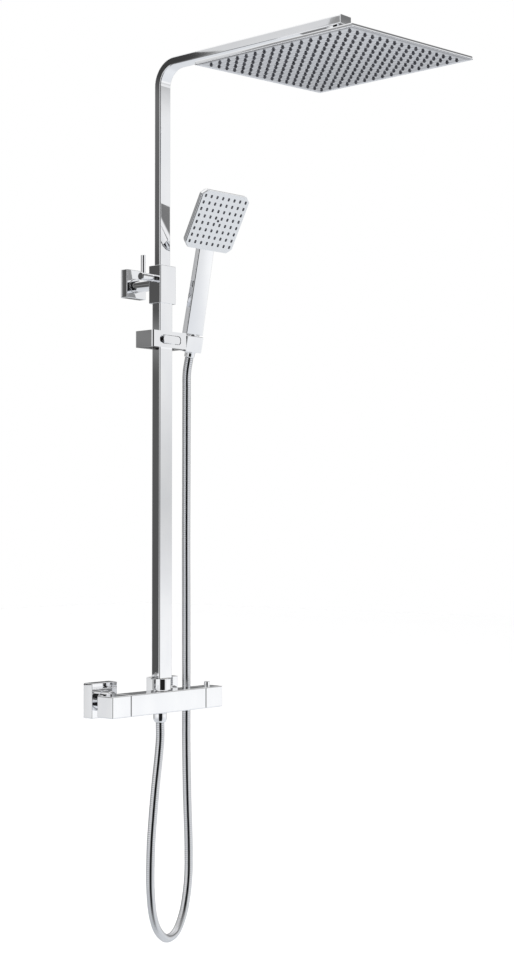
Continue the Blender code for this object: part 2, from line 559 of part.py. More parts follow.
def thumb_lever(carrier):
    """A wedge in the slider's front: its left end stands proud and is pressed in."""
    axis = pivot("thumb_axis", (0.0215, -0.0988, SLIDER_Z), parent=carrier)
    plan = ((0.0045, -0.0021), (-0.0415, -0.0072), (-0.0415, -0.0024), (-0.0075, 0.0018),
            (0.0045, 0.0018))
    bm = bmesh.new()
    face = bm.faces.new([bm.verts.new((x, y, -0.0070)) for x, y in plan])
    solid = bmesh.ops.extrude_face_region(bm, geom=[face])["geom"]
    bmesh.ops.translate(bm, vec=(0, 0, 0.0140), verts=only(bmesh.types.BMVert, solid))
    ends = [e for e in bm.edges if abs(e.verts[0].co.x - e.verts[1].co.x) < 0.001
            and abs(e.verts[0].co.z - e.verts[1].co.z) < 0.001]
    bmesh.ops.bevel(bm, geom=ends, offset=0.0055, segments=5, affect="EDGES", profile=0.5, material=-1)
    bmesh.ops.recalc_face_normals(bm, faces=bm.faces)
    mesh = bpy.data.meshes.new("slider_thumb_lever")
    bm.to_mesh(mesh)
    bm.free()
    lever = add_object("slider_thumb_lever", mesh, CHROME, axis)
    combine(lever, rod("cut_thumb_bore", 0.0015, (0, 0, -0.009), (0, 0, 0.009), parent=axis, steps=16))


def holder(carrier):
    """A tilting block with a tapered socket that opens to the right."""
    axis = pivot("holder_axis", (0, HOLDER_Y, SLIDER_Z), (HOLDER_TILT, 0, 0), carrier)
    top = SLIDER_HEIGHT / 2
    body = block("handset_holder", (HOLDER_LEFT, -HOLDER_HALF_DEPTH, -top),
                 (HOLDER_RIGHT, HOLDER_HALF_DEPTH, top), CHROME, axis, edge=0.0018, segments=3)
    slope = (SOCKET_TOP_RADIUS - SOCKET_LOW_RADIUS) / SLIDER_HEIGHT
    over = 0.004
    combine(body, turned("cut_socket",
                         [(0, top + over), (SOCKET_TOP_RADIUS + slope * over, top + over),
                          (SOCKET_LOW_RADIUS - slope * over, -top - over), (0, -top - over)],
                         (SOCKET_X, 0, 0), (0, 0, 1), parent=axis))
    combine(body, block("cut_mouth", (SOCKET_X, -0.0082, -top - over),
                        (HOLDER_RIGHT + over, 0.0082, top + over), parent=axis))
    combine(body, rod("cut_holder_pivot", 0.0043, (0.041, 0, 0), (0.0545, 0, 0), parent=axis))
    return axis


# ---------------------------------------------------------------- hand shower

def hand_shower(holder_axis):
    carried = pivot("handset_lift", (SOCKET_X, 0, 0), parent=holder_axis)
    turned("hose_cone_nut",
           [(0.0082, 0.0155), (0.0119, 0.0155), (0.0102, -0.0150), (0.0088, -0.0162), (0.0088, -0.0228),
            (0.0080, -0.0240), (0.0040, -0.0240), (0.0040, 0.0040), (0.0082, 0.0040)],
           (0, 0, 0), (0, 0, 1), CHROME, carried)
    ring("hose_cone_washer", 0.0040, 0.0078, (0, 0, 0.0043), (0, 0, 0.0063), RUBBER, carried)

    spin = pivot("handset_spin", (0, 0, 0), (0, 0, HANDSET_SPIN), carried)
    head = pivot("spray_frame", SPRAY_CENTRE, (SPRAY_TILT, 0, 0), spin)
    bm = bmesh.new()
    loop = section_loop(bm, 0.036, 0.015, 0.003, 0.0)
    bmesh.ops.contextual_create(bm, geom=loop)
    grown = bmesh.ops.extrude_face_region(bm, geom=bm.faces[:])["geom"]
    upper = only(bmesh.types.BMVert, grown)
    bmesh.ops.scale(bm, vec=(0.875, 0.83, 1), verts=upper)
    bmesh.ops.translate(bm, vec=(0, 0, 0.164), verts=upper)
    bmesh.ops.translate(bm, vec=(0, 0, 0.0159), verts=bm.verts)
    bmesh.ops.recalc_face_normals(bm, faces=bm.faces)
    mesh = bpy.data.meshes.new("handset_shell")
    bm.to_mesh(mesh)
    bm.free()
    shell = add_object("handset_shell", mesh, CHROME, spin)
    combine(shell, spray_box("cut_head_shell", SPRAY_WIDTH, SPRAY_HEIGHT, 0.0022, SPRAY_DEPTH, None, head,
                             corner=0.009), "UNION")
    combine(shell, rod("cut_handset_spigot", 0.0078, (0, 0, 0.0066), (0, 0, 0.024), parent=spin), "UNION")
    combine(shell, spray_box("cut_plate_seat", SPRAY_WIDTH + 0.002, SPRAY_HEIGHT + 0.0006, -0.0100, 0.0022,
                             None, head, corner=0.009))
    combine(shell, spray_box("cut_head_chamber", SPRAY_WIDTH - 0.008, SPRAY_HEIGHT - 0.008, 0.0, 0.0150,
                             None, head, corner=0.006))
    combine(shell, rod("cut_handset_bore", 0.0040, (0, 0, 0.005), (0, 0, 0.176), parent=spin, steps=16))
    spray_box("handset_nozzle_mat", SPRAY_WIDTH - 0.010, SPRAY_HEIGHT - 0.010, 0.0024, 0.0044, RUBBER, head,
              corner=0.005)
    spray_box("handset_spray_plate", SPRAY_WIDTH, SPRAY_HEIGHT, 0.0, 0.0019, SATIN, head, corner=0.009)


def spray_box(name, width, height, front, back, finish, head, corner):
    """A slab of the spray head with rounded corners; front and back are depths behind the face."""
    bm = bmesh.new()
    loop = section_loop(bm, width, height, corner, 0.0, corner_steps=4)
    bmesh.ops.contextual_create(bm, geom=loop)
    grown = bmesh.ops.extrude_face_region(bm, geom=bm.faces[:])["geom"]
    bmesh.ops.translate(bm, vec=(0, 0, back - front), verts=only(bmesh.types.BMVert, grown))
    bmesh.ops.translate(bm, vec=(0, 0, front), verts=bm.verts)
    bmesh.ops.transform(bm, matrix=Matrix.Rotation(-math.pi / 2, 4, "X"), verts=bm.verts)
    bmesh.ops.recalc_face_normals(bm, faces=bm.faces)
    mesh = bpy.data.meshes.new(name)
    bm.to_mesh(mesh)
    bm.free()
    return add_object(name, mesh, finish, head)


# ---------------------------------------------------------------- hose

def smooth_curve(points, step):
    """Points every step along a Catmull-Rom curve through the route."""
    route = [Vector(p) for p in points]
    route = [2 * route[0] - route[1]] + route + [2 * route[-1] - route[-2]]
    fine = []
    for a, b, c, d in zip(route, route[1:], route[2:], route[3:]):
        for part in range(20):
            t = part / 20
            fine.append(0.5 * (2 * b + (c - a) * t + (2 * a - 5 * b + 4 * c - d) * t ** 2
                               + (3 * b - a - 3 * c + d) * t ** 3))
    fine.append(route[-2])
    total = sum((q - p).length for p, q in zip(fine, fine[1:]))
    count = round(total / step)
    picked, travelled, want = [fine[0]], 0.0, total / count
    for p, q in zip(fine, fine[1:]):
        length = (q - p).length
        while travelled + length >= want and len(picked) < count:
            picked.append(p.lerp(q, (want - travelled) / length))
            want += total / count
        travelled += length
    return picked + [fine[-1]]


def tube(name, points, radius, finish, sides=2):
    curve = bpy.data.curves.new(name, "CURVE")
    curve.dimensions = "3D"
    curve.bevel_depth = radius
    curve.bevel_resolution = sides
    curve.use_fill_caps = True
    spline = curve.splines.new("POLY")
    spline.points.add(len(points) - 1)
    for spot, point in zip(spline.points, points):
        spot.co = (*point, 1.0)
    curve.materials.append(material(finish))
    made = bpy.data.objects.new(name, curve)
    PARTS.objects.link(made)
    return made


clear_scene()
PARTS = new_collection("rainfall_shower_column")
CUTTERS = new_collection("cutters")

wall_inlet("left", -1)
wall_inlet("right", 1)
valve_body()
diverter()
thermostat()
outlets()
lower_riser()
slide_tube()
arm_fittings()
collar()
lock_lever()
wall_bracket()
ball_joint()
rain_head()
CARRIAGE = slider()
HOLDER_AXIS = holder(CARRIAGE)
hand_shower(HOLDER_AXIS)
tube("shower_hose", smooth_curve(HOSE_ROUTE, HOSE_STEP), HOSE_RADIUS, CHROME)
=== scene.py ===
"""Looks of a wall-mounted rainfall shower column: polished chrome bar, riser, arm and fittings, satin
spray faces with rubber nozzles, and a spiral steel hose.  Units are metres, +Z up, the wall is Y = 0.
Turned shapes are outlines of (radius, distance along the axis), from one end to the other."""
import json
import math

import bmesh
import bpy
from bmesh import ops
from mathutils import Matrix, Vector

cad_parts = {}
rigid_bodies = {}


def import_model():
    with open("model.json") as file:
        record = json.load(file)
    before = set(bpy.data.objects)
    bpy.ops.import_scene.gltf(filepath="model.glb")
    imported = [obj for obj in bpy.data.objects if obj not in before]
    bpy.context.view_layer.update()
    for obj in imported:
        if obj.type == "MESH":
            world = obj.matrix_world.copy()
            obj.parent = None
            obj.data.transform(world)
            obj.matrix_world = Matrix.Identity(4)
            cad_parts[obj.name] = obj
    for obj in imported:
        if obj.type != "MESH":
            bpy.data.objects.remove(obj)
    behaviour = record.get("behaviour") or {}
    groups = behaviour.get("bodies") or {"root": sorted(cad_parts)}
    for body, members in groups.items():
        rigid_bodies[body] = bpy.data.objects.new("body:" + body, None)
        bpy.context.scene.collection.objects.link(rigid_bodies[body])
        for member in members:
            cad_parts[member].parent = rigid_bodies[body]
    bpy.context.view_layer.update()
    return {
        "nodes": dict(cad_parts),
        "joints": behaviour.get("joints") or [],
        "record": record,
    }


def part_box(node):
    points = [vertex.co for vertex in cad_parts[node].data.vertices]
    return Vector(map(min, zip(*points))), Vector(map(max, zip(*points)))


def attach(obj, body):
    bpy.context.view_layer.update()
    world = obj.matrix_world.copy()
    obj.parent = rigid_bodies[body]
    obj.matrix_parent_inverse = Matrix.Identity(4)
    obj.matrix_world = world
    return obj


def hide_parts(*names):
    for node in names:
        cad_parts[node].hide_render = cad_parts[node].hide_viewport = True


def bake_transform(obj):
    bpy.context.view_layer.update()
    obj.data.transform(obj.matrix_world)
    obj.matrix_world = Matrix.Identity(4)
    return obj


for leftover in list(bpy.data.objects):
    bpy.data.objects.remove(leftover)
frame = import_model()
JOINTS = {joint["name"]: joint for joint in frame["joints"]}

SIDES = ("left", "right")
UP = (0.0, 0.0, 1.0)
TO_ROOM = (0.0, -1.0, 0.0)
TO_LEFT = (-1.0, 0.0, 0.0)
FACING_ROOM = Matrix.Rotation(math.pi / 2, 4, "X")      # lays a shape drawn in XY upright, front to the room


def middle_of(node):
    low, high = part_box(node)
    return (low + high) / 2


def joint_place(name):
    return Vector(JOINTS[name]["pos_m"])


# -------- driving sizes
BAR_EDGE = 0.0018                    # rounding of the bar's edges
BAR_Y = middle_of("flow_handle").y
OUTLET_X = middle_of("hose_outlet_nut").x
WALL_PIPE_Z = middle_of("wall_flange_left").z
LOCK = joint_place("lock_turn")
STUB_Z = middle_of("bracket_stub").z
BALL = joint_place("head_tip")
BALL_RADIUS, BALL_SEAT_RADIUS = 0.0090, 0.0104
HEAD_SIDE = 0.312
HEAD_TIP = math.radians(-2.97)       # the head hangs a little out of level
FACE_DROP = -0.0232                  # underside of the rain face, below the ball's centre
THUMB_PIN = joint_place("thumb_press")
SOCKET = joint_place("handset_spin")
SOCKET_AXIS = Vector(JOINTS["handset_spin"]["axis"])
HOLDER_TILT = math.atan2(-SOCKET_AXIS.y, SOCKET_AXIS.z)
HANDSET_SPIN = math.radians(-12)
SPRAY_TILT = math.radians(20.6)
SPRAY_CENTRE = (0.0, -0.026, 0.2134)
SPRAY_WIDTH, SPRAY_HEIGHT = 0.098, 0.106
SPRAY_CORNER = 0.0085
SPRAY_RIM = Vector((SPRAY_WIDTH / 2 - 0.0008, SPRAY_HEIGHT / 2 - 0.0008))

# frames in which the tilted parts are drawn
HOLDER_FRAME = Matrix.Translation((0, SOCKET.y, SOCKET.z)) @ Matrix.Rotation(HOLDER_TILT, 4, "X")
NUT_FRAME = HOLDER_FRAME @ Matrix.Translation((SOCKET.x, 0, 0))
HANDSET_FRAME = NUT_FRAME @ Matrix.Rotation(HANDSET_SPIN, 4, "Z")
SPRAY_FRAME = (HANDSET_FRAME @ Matrix.Translation(SPRAY_CENTRE) @ Matrix.Rotation(SPRAY_TILT, 4, "X")
               @ Matrix.Rotation(-math.pi / 2, 4, "X"))
HEAD_FRAME = Matrix.Translation(BALL) @ Matrix.Rotation(HEAD_TIP, 4, "Y")

# hose: the points it passes through, from the nut under the bar round the loop and up to the holder
HOSE_RADIUS = 0.0074
HOSE_SIDES = 24
STATIONS_PER_TURN = 4
SPIRAL_PITCH = 0.0034
GROOVE_DEPTH = 0.0004
SPIRAL_PROFILE = (1.0, 0.15, 0.0, 0.15)      # how deep the groove is at each station of a turn
INNER_STATIONS = 34                          # of the length inside the nut and the holder
HOSE_ROUTE_MM = (
    (-4, -82.5, -35.4), (-4, -82.5, -63.4), (-8.2, -82.8, -97), (-15.5, -83.5, -140.4),
    (-22.2, -84, -190.1), (-26.9, -84, -239.9), (-27.6, -83, -290.3), (-24.8, -81.5, -324.5),
    (-16.7, -78.5, -359.9), (-0, -74, -390), (26.5, -68.5, -408.5), (56, -62.5, -404),
    (77.9, -58, -379.1), (90.6, -55, -347), (97.5, -53, -313.5), (100.3, -51, -279.2),
    (100.8, -49.8, -244.4), (100.4, -47.8, -192.1), (100.8, -45.6, -139.7), (102.2, -43, -69.9),
    (103.4, -42, 0.3), (102.2, -42.8, 97.4), (98.6, -46, 185.8), (94, -50, 274.1), (89, -55, 362.2),
    (83.4, -60.5, 450), (74.5, -69.2, 533), (70, -74.07, 565.75), (70, -79.65, 593.19))


# -------- nodes of materials and the studio
def add_node(tree, kind, inputs=None, **settings):
    made = tree.nodes.new("ShaderNode" + kind)
    for name, value in settings.items():
        setattr(made, name, value)
    for name, value in (inputs or {}).items():
        if isinstance(value, bpy.types.NodeSocket):
            tree.links.new(value, made.inputs[name])
        else:
            made.inputs[name].default_value = value
    return made


def grey(value, tint=1.0):
    """An almost neutral colour; a tint above 1 makes it cooler."""
    return (value, value * (1 + (tint - 1) * 0.4), value * tint, 1.0)


def ramp(tree, factor, stops, smooth=True):
    """A colour ramp; each stop is (place from 0 to 1, colour)."""
    made = add_node(tree, "ValToRGB", {"Fac": factor})
    made.color_ramp.interpolation = "EASE" if smooth else "LINEAR"
    points = made.color_ramp.elements
    points[0].position, points[0].color = stops[0]
    points[1].position, points[1].color = stops[-1]
    for place, colour in stops[1:-1]:
        points.new(place).color = colour
    return made.outputs["Color"]


def math_node(tree, operation, first, second=0.0):
    return add_node(tree, "Math", {0: first, 1: second}, operation=operation).outputs[0]


def mix_colours(tree, factor, first, second, blend="MIX"):
    return add_node(tree, "Mix", {0: factor, 6: first, 7: second}, data_type="RGBA",
                    blend_type=blend).outputs[2]


def map_range(tree, value, **limits):
    """Limits are the node's own sockets, with spaces for underscores."""
    inputs = {"Value": value}
    inputs.update((socket.replace("_", " "), limit) for socket, limit in limits.items())
    return add_node(tree, "MapRange", inputs).outputs[0]


def new_paint(name):
    """A material with its node tree and its shader."""
    paint = bpy.data.materials.new(name)
    paint.use_nodes = True
    return paint, paint.node_tree, paint.node_tree.nodes["Principled BSDF"]


def add_object(name, data):
    made = bpy.data.objects.new(name, data)
    bpy.context.scene.collection.objects.link(made)
    return made


def box_between(low, high):
    bm = bmesh.new()
    ops.create_cube(bm, size=1.0)
    ops.scale(bm, vec=Vector(high) - Vector(low), verts=bm.verts)
    ops.translate(bm, vec=(Vector(low) + Vector(high)) / 2, verts=bm.verts)
    return bm


# -------- camera and studio
SHEET_THICKNESS = 0.002


def add_camera():
    camera = add_object("camera", bpy.data.cameras.new("camera"))
    camera.data.lens = 63.56
    camera.location = (-2.07685, -2.11325, 0.29594)
    camera.rotation_euler = (math.radians(91.61), 0, math.radians(-48.85))
    bpy.context.scene.camera = camera


def add_surroundings():
    """A white studio that the chrome mirrors: bright front and ceiling, darker back, and a dark gap at the
    front left.  Bearings are degrees clockwise from +Y; heights run from 0, straight down, to 1."""
    world = bpy.data.worlds.new("studio")
    bpy.context.scene.world = world
    world.use_nodes = True
    tree = world.node_tree
    tree.nodes.clear()
    direction = add_node(tree, "TexCoord").outputs["Generated"]
    parts = add_node(tree, "SeparateXYZ", {"Vector": direction})
    bearing = math_node(tree, "ARCTAN2", parts.outputs["X"], parts.outputs["Y"])
    turn = math_node(tree, "FRACT", math_node(tree, "MULTIPLY", bearing, 0.5 / math.pi))
    height = map_range(tree, parts.outputs["Z"], From_Min=-1.0)

    def around(stops, tint):
        return ramp(tree, turn, [(degrees / 360, grey(value, tint)) for degrees, value in stops])

    def upward(stops, smooth=True):
        return ramp(tree, height, [(level, grey(value)) for level, value in stops], smooth)

    walls = around(((0, 0.34), (38, 0.20), (60, 0.22), (78, 0.55), (96, 0.88), (118, 0.90), (150, 0.94),
                    (178, 0.80), (200, 0.62), (236, 0.80), (262, 0.92), (300, 0.84), (316, 0.72), (330, 0.62),
                    (345, 0.40), (360, 0.34)), 1.02)
    levels = upward(((0.0, 1.0), (0.41, 1.0), (0.448, 1.12), (0.466, 1.06), (0.509, 0.74), (0.552, 0.95),
                     (0.60, 0.97), (0.66, 0.93), (1.0, 1.0)))
    banded = mix_colours(tree, 1.0, walls, levels, "MULTIPLY")
    roofed = mix_colours(tree, upward(((0.64, 0.0), (0.80, 1.0))), banded, grey(1.0))
    upper = around(((0, 1.0), (64, 1.0), (84, 0.22), (180, 0.22), (192, 1.0), (360, 1.0)), 1.0)
    ledge = upward(((0.619, 0.0), (0.632, 0.75), (0.645, 1.0), (0.78, 1.0), (0.86, 0.0)), smooth=False)
    shaded = mix_colours(tree, ledge, roofed, upper, "MULTIPLY")
    ground = around(((0, 0.72), (60, 0.76), (95, 0.86), (160, 0.82), (240, 0.62), (330, 0.66), (360, 0.72)),
                    1.07)
    whole = mix_colours(tree, upward(((0.38, 1.0), (0.44, 0.0))), shaded, ground)
    gap = around(((0, 1.0), (180, 1.0), (190, 0.02), (243, 0.02), (252, 1.0), (360, 1.0)), 1.0)
    gap_span = upward(((0.06, 0.0), (0.14, 1.0), (0.86, 1.0), (0.94, 0.0)))
    room = mix_colours(tree, gap_span, whole, gap, "MULTIPLY")
    seen = add_node(tree, "LightPath").outputs["Is Camera Ray"]
    shown = mix_colours(tree, seen, room, grey(1.0))
    glow = add_node(tree, "Background", {"Color": shown, "Strength": 1.0})
    add_node(tree, "OutputWorld", {"Surface": glow.outputs[0]})


def add_lamp(name, place, aim, size, power):
    lamp = bpy.data.lights.new(name, "AREA")
    lamp.shape = "RECTANGLE"
    lamp.size, lamp.size_y = size
    lamp.energy = power
    made = add_object(name, lamp)
    made.location = place
    made.visible_glossy = False
    made.rotation_euler = (Vector(aim) - Vector(place)).to_track_quat("-Z", "Y").to_euler()


def stage_sheet(name, low, high):
    """A flat sheet between two corners, one of whose three spans is zero."""
    half = Vector([SHEET_THICKNESS / 2 if a == b else 0.0 for a, b in zip(low, high)])
    mesh = bpy.data.meshes.new(name)
    bm = box_between(Vector(low) - half, Vector(high) + half)
    bm.to_mesh(mesh)
    bm.free()
    made = add_object(name, mesh)
    return made


def add_floor():
    floor = stage_sheet("floor", (-14, -14, -0.70), (14, 14, -0.70))
    floor.visible_glossy = False
    paint, tree, shader = new_paint("pale_floor")
    shader.inputs["Roughness"].default_value = 0.9
    shader.inputs["Emission Color"].default_value = grey(1.0)
    shader.inputs["Emission Strength"].default_value = 0.3
    mottle = add_node(tree, "TexNoise", {"Scale": 0.7, "Detail": 2.0}).outputs["Fac"]
    tree.links.new(ramp(tree, mottle, [(0.3, grey(0.93)), (0.7, grey(0.96))]), shader.inputs["Base Color"])
    floor.data.materials.append(paint)


def add_dark_screen(name, low, high, solid, painted_reflection_levels):
    """A dark upright screen behind the column, which only mirrors see, so that it paints dark reflections
    into the chrome: solid from one share of its width to another, and glowing at levels that vary up its
    height, set to paint the reflection's brightness on each part."""
    screen = stage_sheet(name, low, high)
    for ray in ("camera", "diffuse", "transmission", "volume_scatter", "shadow"):
        setattr(screen, f"visible_{ray}", False)
    paint, tree, _ = new_paint(name)
    tree.nodes.clear()
    place = add_node(tree, "SeparateXYZ",
                     {"Vector": add_node(tree, "TexCoord").outputs["Object"]})
    across = map_range(tree, place.outputs["X"], From_Min=low[0], From_Max=high[0])
    level = map_range(tree, place.outputs["Z"], From_Min=low[2], From_Max=high[2])
    cover = ramp(tree, across, [(0.0, grey(0.0)), (solid[0], grey(1.0)), (solid[1], grey(1.0)),
                                (1.0, grey(0.5))])
    # painted reflection: the glow level at each height sets how dark the chrome in front mirrors the screen
    painted_reflection_glow = ramp(tree, level, [(share, grey(value)) for share, value in painted_reflection_levels])
    dark = add_node(tree, "Emission", {"Color": painted_reflection_glow})
    clear = add_node(tree, "BsdfTransparent")
    mixed = add_node(tree, "MixShader", {0: cover, 1: clear.outputs[0], 2: dark.outputs[0]})
    add_node(tree, "OutputMaterial", {"Surface": mixed.outputs[0]})
    screen.data.materials.append(paint)


# -------- finishes
def new_finish(name, metallic, **constants):
    """A material whose plain numbers sit on the shader's own sockets."""
    made, tree, shader = new_paint(name)
    shader.inputs["Metallic"].default_value = metallic
    for socket, value in constants.items():
        shader.inputs[socket.replace("_", " ")].default_value = value
    place = add_node(tree, "TexCoord").outputs["Object"]
    return made, tree, shader, place


def grain(tree, place, scale, stretch=(1, 1, 1), detail=3.0, roughness=0.55):
    """Noise over the surface, drawn out along one axis by a stretch below 1."""
    spot = add_node(tree, "Mapping", {"Vector": place, "Scale": stretch}).outputs[0]
    return add_node(tree, "TexNoise", {"Vector": spot, "Scale": scale, "Detail": detail,
                                       "Roughness": roughness}).outputs["Fac"]


def spread(tree, factor, low, high):
    """Maps the useful middle of a noise to a range."""
    return map_range(tree, factor, From_Min=0.3, From_Max=0.7, To_Min=low, To_Max=high)


def dress(tree, shader, colour, gloss, height=None, strength=0.0, depth=0.0):
    """Joins colour and gloss to the shader and, if there is a height, a fine relief."""
    tree.links.new(colour, shader.inputs["Base Color"])
    tree.links.new(gloss, shader.inputs["Roughness"])
    if height is not None:
        bump = add_node(tree, "Bump", {"Height": height, "Strength": strength, "Distance": depth})
        tree.links.new(bump.outputs[0], shader.inputs["Normal"])


def make_chrome():
    """Bright plate over polished brass: faint smears in its gloss, and a soft ripple from buffing."""
    made, tree, shader, place = new_finish("polished_chrome", 1.0)
    smear = grain(tree, place, 22.0, (1, 1, 0.5))
    scuff = grain(tree, place, 900.0, (1, 1, 0.12), 2.0)
    tone = ramp(tree, smear, [(0.3, (0.89, 0.895, 0.91, 1)), (0.7, (0.93, 0.933, 0.94, 1))])
    gloss = math_node(tree, "ADD", spread(tree, smear, 0.022, 0.040), spread(tree, scuff, 0.0, 0.020))
    dress(tree, shader, tone, gloss, grain(tree, place, 34.0, detail=1.0), 0.05, 0.0006)
    return made


def make_satin(name, dark, light, gloss, stretch, relief):
    """Brushed sheet with fine lines along one axis."""
    made, tree, shader, place = new_finish(name, 1.0)
    lines = grain(tree, place, 620.0, stretch, 4.0, 0.7)
    cloud = grain(tree, place, 9.0)
    brushed = ramp(tree, lines, [(0.25, dark), (0.75, light)])
    tinted = mix_colours(tree, spread(tree, cloud, 0.0, 0.35), brushed, light)
    dress(tree, shader, tinted, spread(tree, lines, *gloss), lines, relief, 0.0002)
    return made


def make_hose_steel():
    """Chromed strip wound into a spiral: bright crowns, duller in the grooves, and painted shade darkening
    the colour in the grooves.
    """
    made, tree, shader, place = new_finish("hose_spiral_steel", 1.0)
    groove = add_node(tree, "Attribute", attribute_name="groove").outputs["Fac"]
    # painted shade: the colour falls from 0.80 on the crowns to 0.24 deep in the grooves, where shade falls
    tone = ramp(tree, groove, [(0.0, (0.80, 0.805, 0.82, 1)), (0.55, (0.66, 0.665, 0.68, 1)),
                               (1.0, (0.24, 0.24, 0.25, 1))])
    wear = spread(tree, grain(tree, place, 260.0), 0.0, 0.05)
    dull = map_range(tree, groove, To_Min=0.04, To_Max=0.25)
    dress(tree, shader, tone, math_node(tree, "ADD", wear, dull))
    return made


def make_moulded(name, dark, light, specular, flow, light_at, gloss, relief):
    """Rubber or plastic: flow is its noise's (scale, detail), relief its (scale, strength, depth)."""
    made, tree, shader, place = new_finish(name, 0.0, Specular_IOR_Level=specular)
    cloud = grain(tree, place, flow[0], detail=flow[1])
    dress(tree, shader, ramp(tree, cloud, [(0.3, dark), (light_at, light)]), spread(tree, cloud, *gloss),
          grain(tree, place, relief[0]), *relief[1:])
    return made


def make_machined(name, dark, light, gloss, stretch):
    """Turned or drawn bare metal, with tool marks along the stretch."""
    made, tree, shader, place = new_finish(name, 1.0)
    marks = grain(tree, place, 700.0, stretch, 3.0, 0.65)
    stain = grain(tree, place, 60.0)
    bare = ramp(tree, marks, [(0.3, dark), (0.7, light)])
    aged = mix_colours(tree, spread(tree, stain, 0.0, 0.4), bare, dark)
    dress(tree, shader, aged, spread(tree, marks, *gloss), marks, 0.18, 0.0002)
    return made


CHROME = make_chrome()
RAIN_FACE = make_satin("rain_face_steel", (0.78, 0.79, 0.82, 1), (0.90, 0.905, 0.93, 1), (0.08, 0.16),
                       (1.0, 0.03, 1.0), 0.08)
SPRAY_FACE = make_satin("spray_face_satin", (0.80, 0.81, 0.82, 1), (0.93, 0.935, 0.94, 1), (0.24, 0.36),
                        (1.0, 1.0, 1.0), 0.06)
HOSE_STEEL = make_hose_steel()
RUBBERY = (0.35, (160.0, 3.0), 0.75, (0.42, 0.62), (1400.0, 0.12, 0.0002))
RUBBER = make_moulded("black_rubber", (0.02, 0.02, 0.022, 1), (0.05, 0.05, 0.055, 1), *RUBBERY)
NOZZLE_RUBBER = make_moulded("nozzle_silicone", (0.035, 0.036, 0.045, 1), (0.085, 0.086, 0.10, 1), *RUBBERY)
HARD = (0.45, (70.0, 2.0), 0.7, (0.36, 0.46), (2200.0, 0.08, 0.0001))
BLACK_PLASTIC = make_moulded("dark_plastic", (0.06, 0.06, 0.065, 1), (0.12, 0.12, 0.13, 1), *HARD)
WHITE_PLASTIC = make_moulded("white_plastic", (0.76, 0.76, 0.74, 1), (0.86, 0.86, 0.84, 1), *HARD)
BRASS = make_machined("brass", (0.50, 0.34, 0.14, 1), (0.82, 0.64, 0.34, 1), (0.18, 0.36), (1, 0.06, 1))
SPRING_STEEL = make_machined("spring_steel", (0.36, 0.36, 0.37, 1), (0.66, 0.66, 0.68, 1), (0.22, 0.4),
                             (1, 1, 0.1))
FINISH_OF_SLOT = {"polished_chrome": CHROME, "satin_steel": RAIN_FACE, "brass": BRASS, "black_rubber": RUBBER,
                  "dark_plastic": BLACK_PLASTIC, "white_plastic": WHITE_PLASTIC, "spring_steel": SPRING_STEEL}


# -------- modelling helpers
WELD = 0.000002
SHARP = math.radians(38)                         # edges sharper than this aren't shaded smooth
HOSE_SHARP = math.radians(60)
THREAD_STEPS = 20                                # round one turn of a thread
HOLE_SIDES = 16                                  # of a nozzle's hole


def verts_in(geometry):
    return [g for g in geometry if isinstance(g, bmesh.types.BMVert)]


def edges_in(geometry):
    return [g for g in geometry if isinstance(g, bmesh.types.BMEdge)]


def everything(bm):
    return bm.verts[:] + bm.edges[:] + bm.faces[:]


def ring_of(bm, verts):
    """Edges that join the verts one to the next and the last to the first."""
    return [bm.edges.new(pair) for pair in zip(verts, verts[1:] + verts[:1])]


def stand(bm, verts, place, along):
    """Turns verts made round +Z to lie along a direction from a place."""
    turn = Vector(along).to_track_quat("Z", "Y").to_matrix().to_4x4()
    ops.transform(bm, matrix=Matrix.Translation(place) @ turn, verts=verts)


def finish_piece(name, bm, body, stands_for=None, finish=CHROME, wall=0.0,
                 place=None):
    """Turns a bmesh into a piece that rides on a body; a wall makes a shell of an open surface."""
    ops.remove_doubles(bm, verts=bm.verts, dist=WELD)
    ops.recalc_face_normals(bm, faces=bm.faces)
    if place is not None:
        ops.transform(bm, matrix=place, verts=bm.verts)
    mesh = bpy.data.meshes.new(name)
    bm.to_mesh(mesh)
    bm.free()
    mesh.shade_smooth()
    mesh.set_sharp_from_angle(angle=SHARP)
    mesh.materials.append(finish)
    piece = add_object(name, mesh)
    if wall:
        shell = piece.modifiers.new("wall", "SOLIDIFY")
        shell.thickness = wall
        shell.offset = -1.0
    even = piece.modifiers.new("even_shading", "WEIGHTED_NORMAL")
    even.keep_sharp = True
    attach(piece, body)
    if stands_for:
        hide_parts(stands_for)
    return piece


def soften(bm, width, segments=3, above=30, where=lambda middle: True):
    """Rounds the edges that are sharper than an angle."""
    limit = math.radians(above)
    sharp = [e for e in bm.edges if len(e.link_faces) == 2 and e.calc_face_angle(0) > limit
             and where((e.verts[0].co + e.verts[1].co) / 2)]
    ops.bevel(bm, geom=sharp, offset=width, segments=segments, profile=0.5, affect="EDGES",
              clamp_overlap=True, material=-1)


def rounded_box(low, high, edge, segments=4):
    bm = box_between(low, high)
    soften(bm, edge, segments)
    return bm


def spin_outline(bm, outline, place, along, steps):
    """Spins an outline of (radius, distance along) points about an axis; ends on the axis close it."""
    verts = [bm.verts.new((radius, 0, height)) for radius, height in outline]
    pairs = list(zip(verts, verts[1:]))
    if outline[0][0] > 0:
        pairs.append((verts[-1], verts[0]))
    edges = [bm.edges.new(pair) for pair in pairs]
    ops.spin(bm, geom=verts + edges, cent=(0, 0, 0), axis=UP, angle=2 * math.pi, steps=steps,
             use_merge=True)
    ops.remove_doubles(bm, verts=bm.verts, dist=WELD)
    stand(bm, bm.verts, place, along)


def turned(outline, place=(0, 0, 0), along=UP, steps=64, edge=0.0003, segments=2):
    bm = bmesh.new()
    spin_outline(bm, outline, place, along, steps)
    if edge:
        soften(bm, edge, segments, above=24)
    return bm


def merge_in(bm, other):
    """Adds another bmesh's shape to this one."""
    mesh = bpy.data.meshes.new("merging")
    other.to_mesh(mesh)
    other.free()
    bm.from_mesh(mesh)
    bpy.data.meshes.remove(mesh)
    return bm


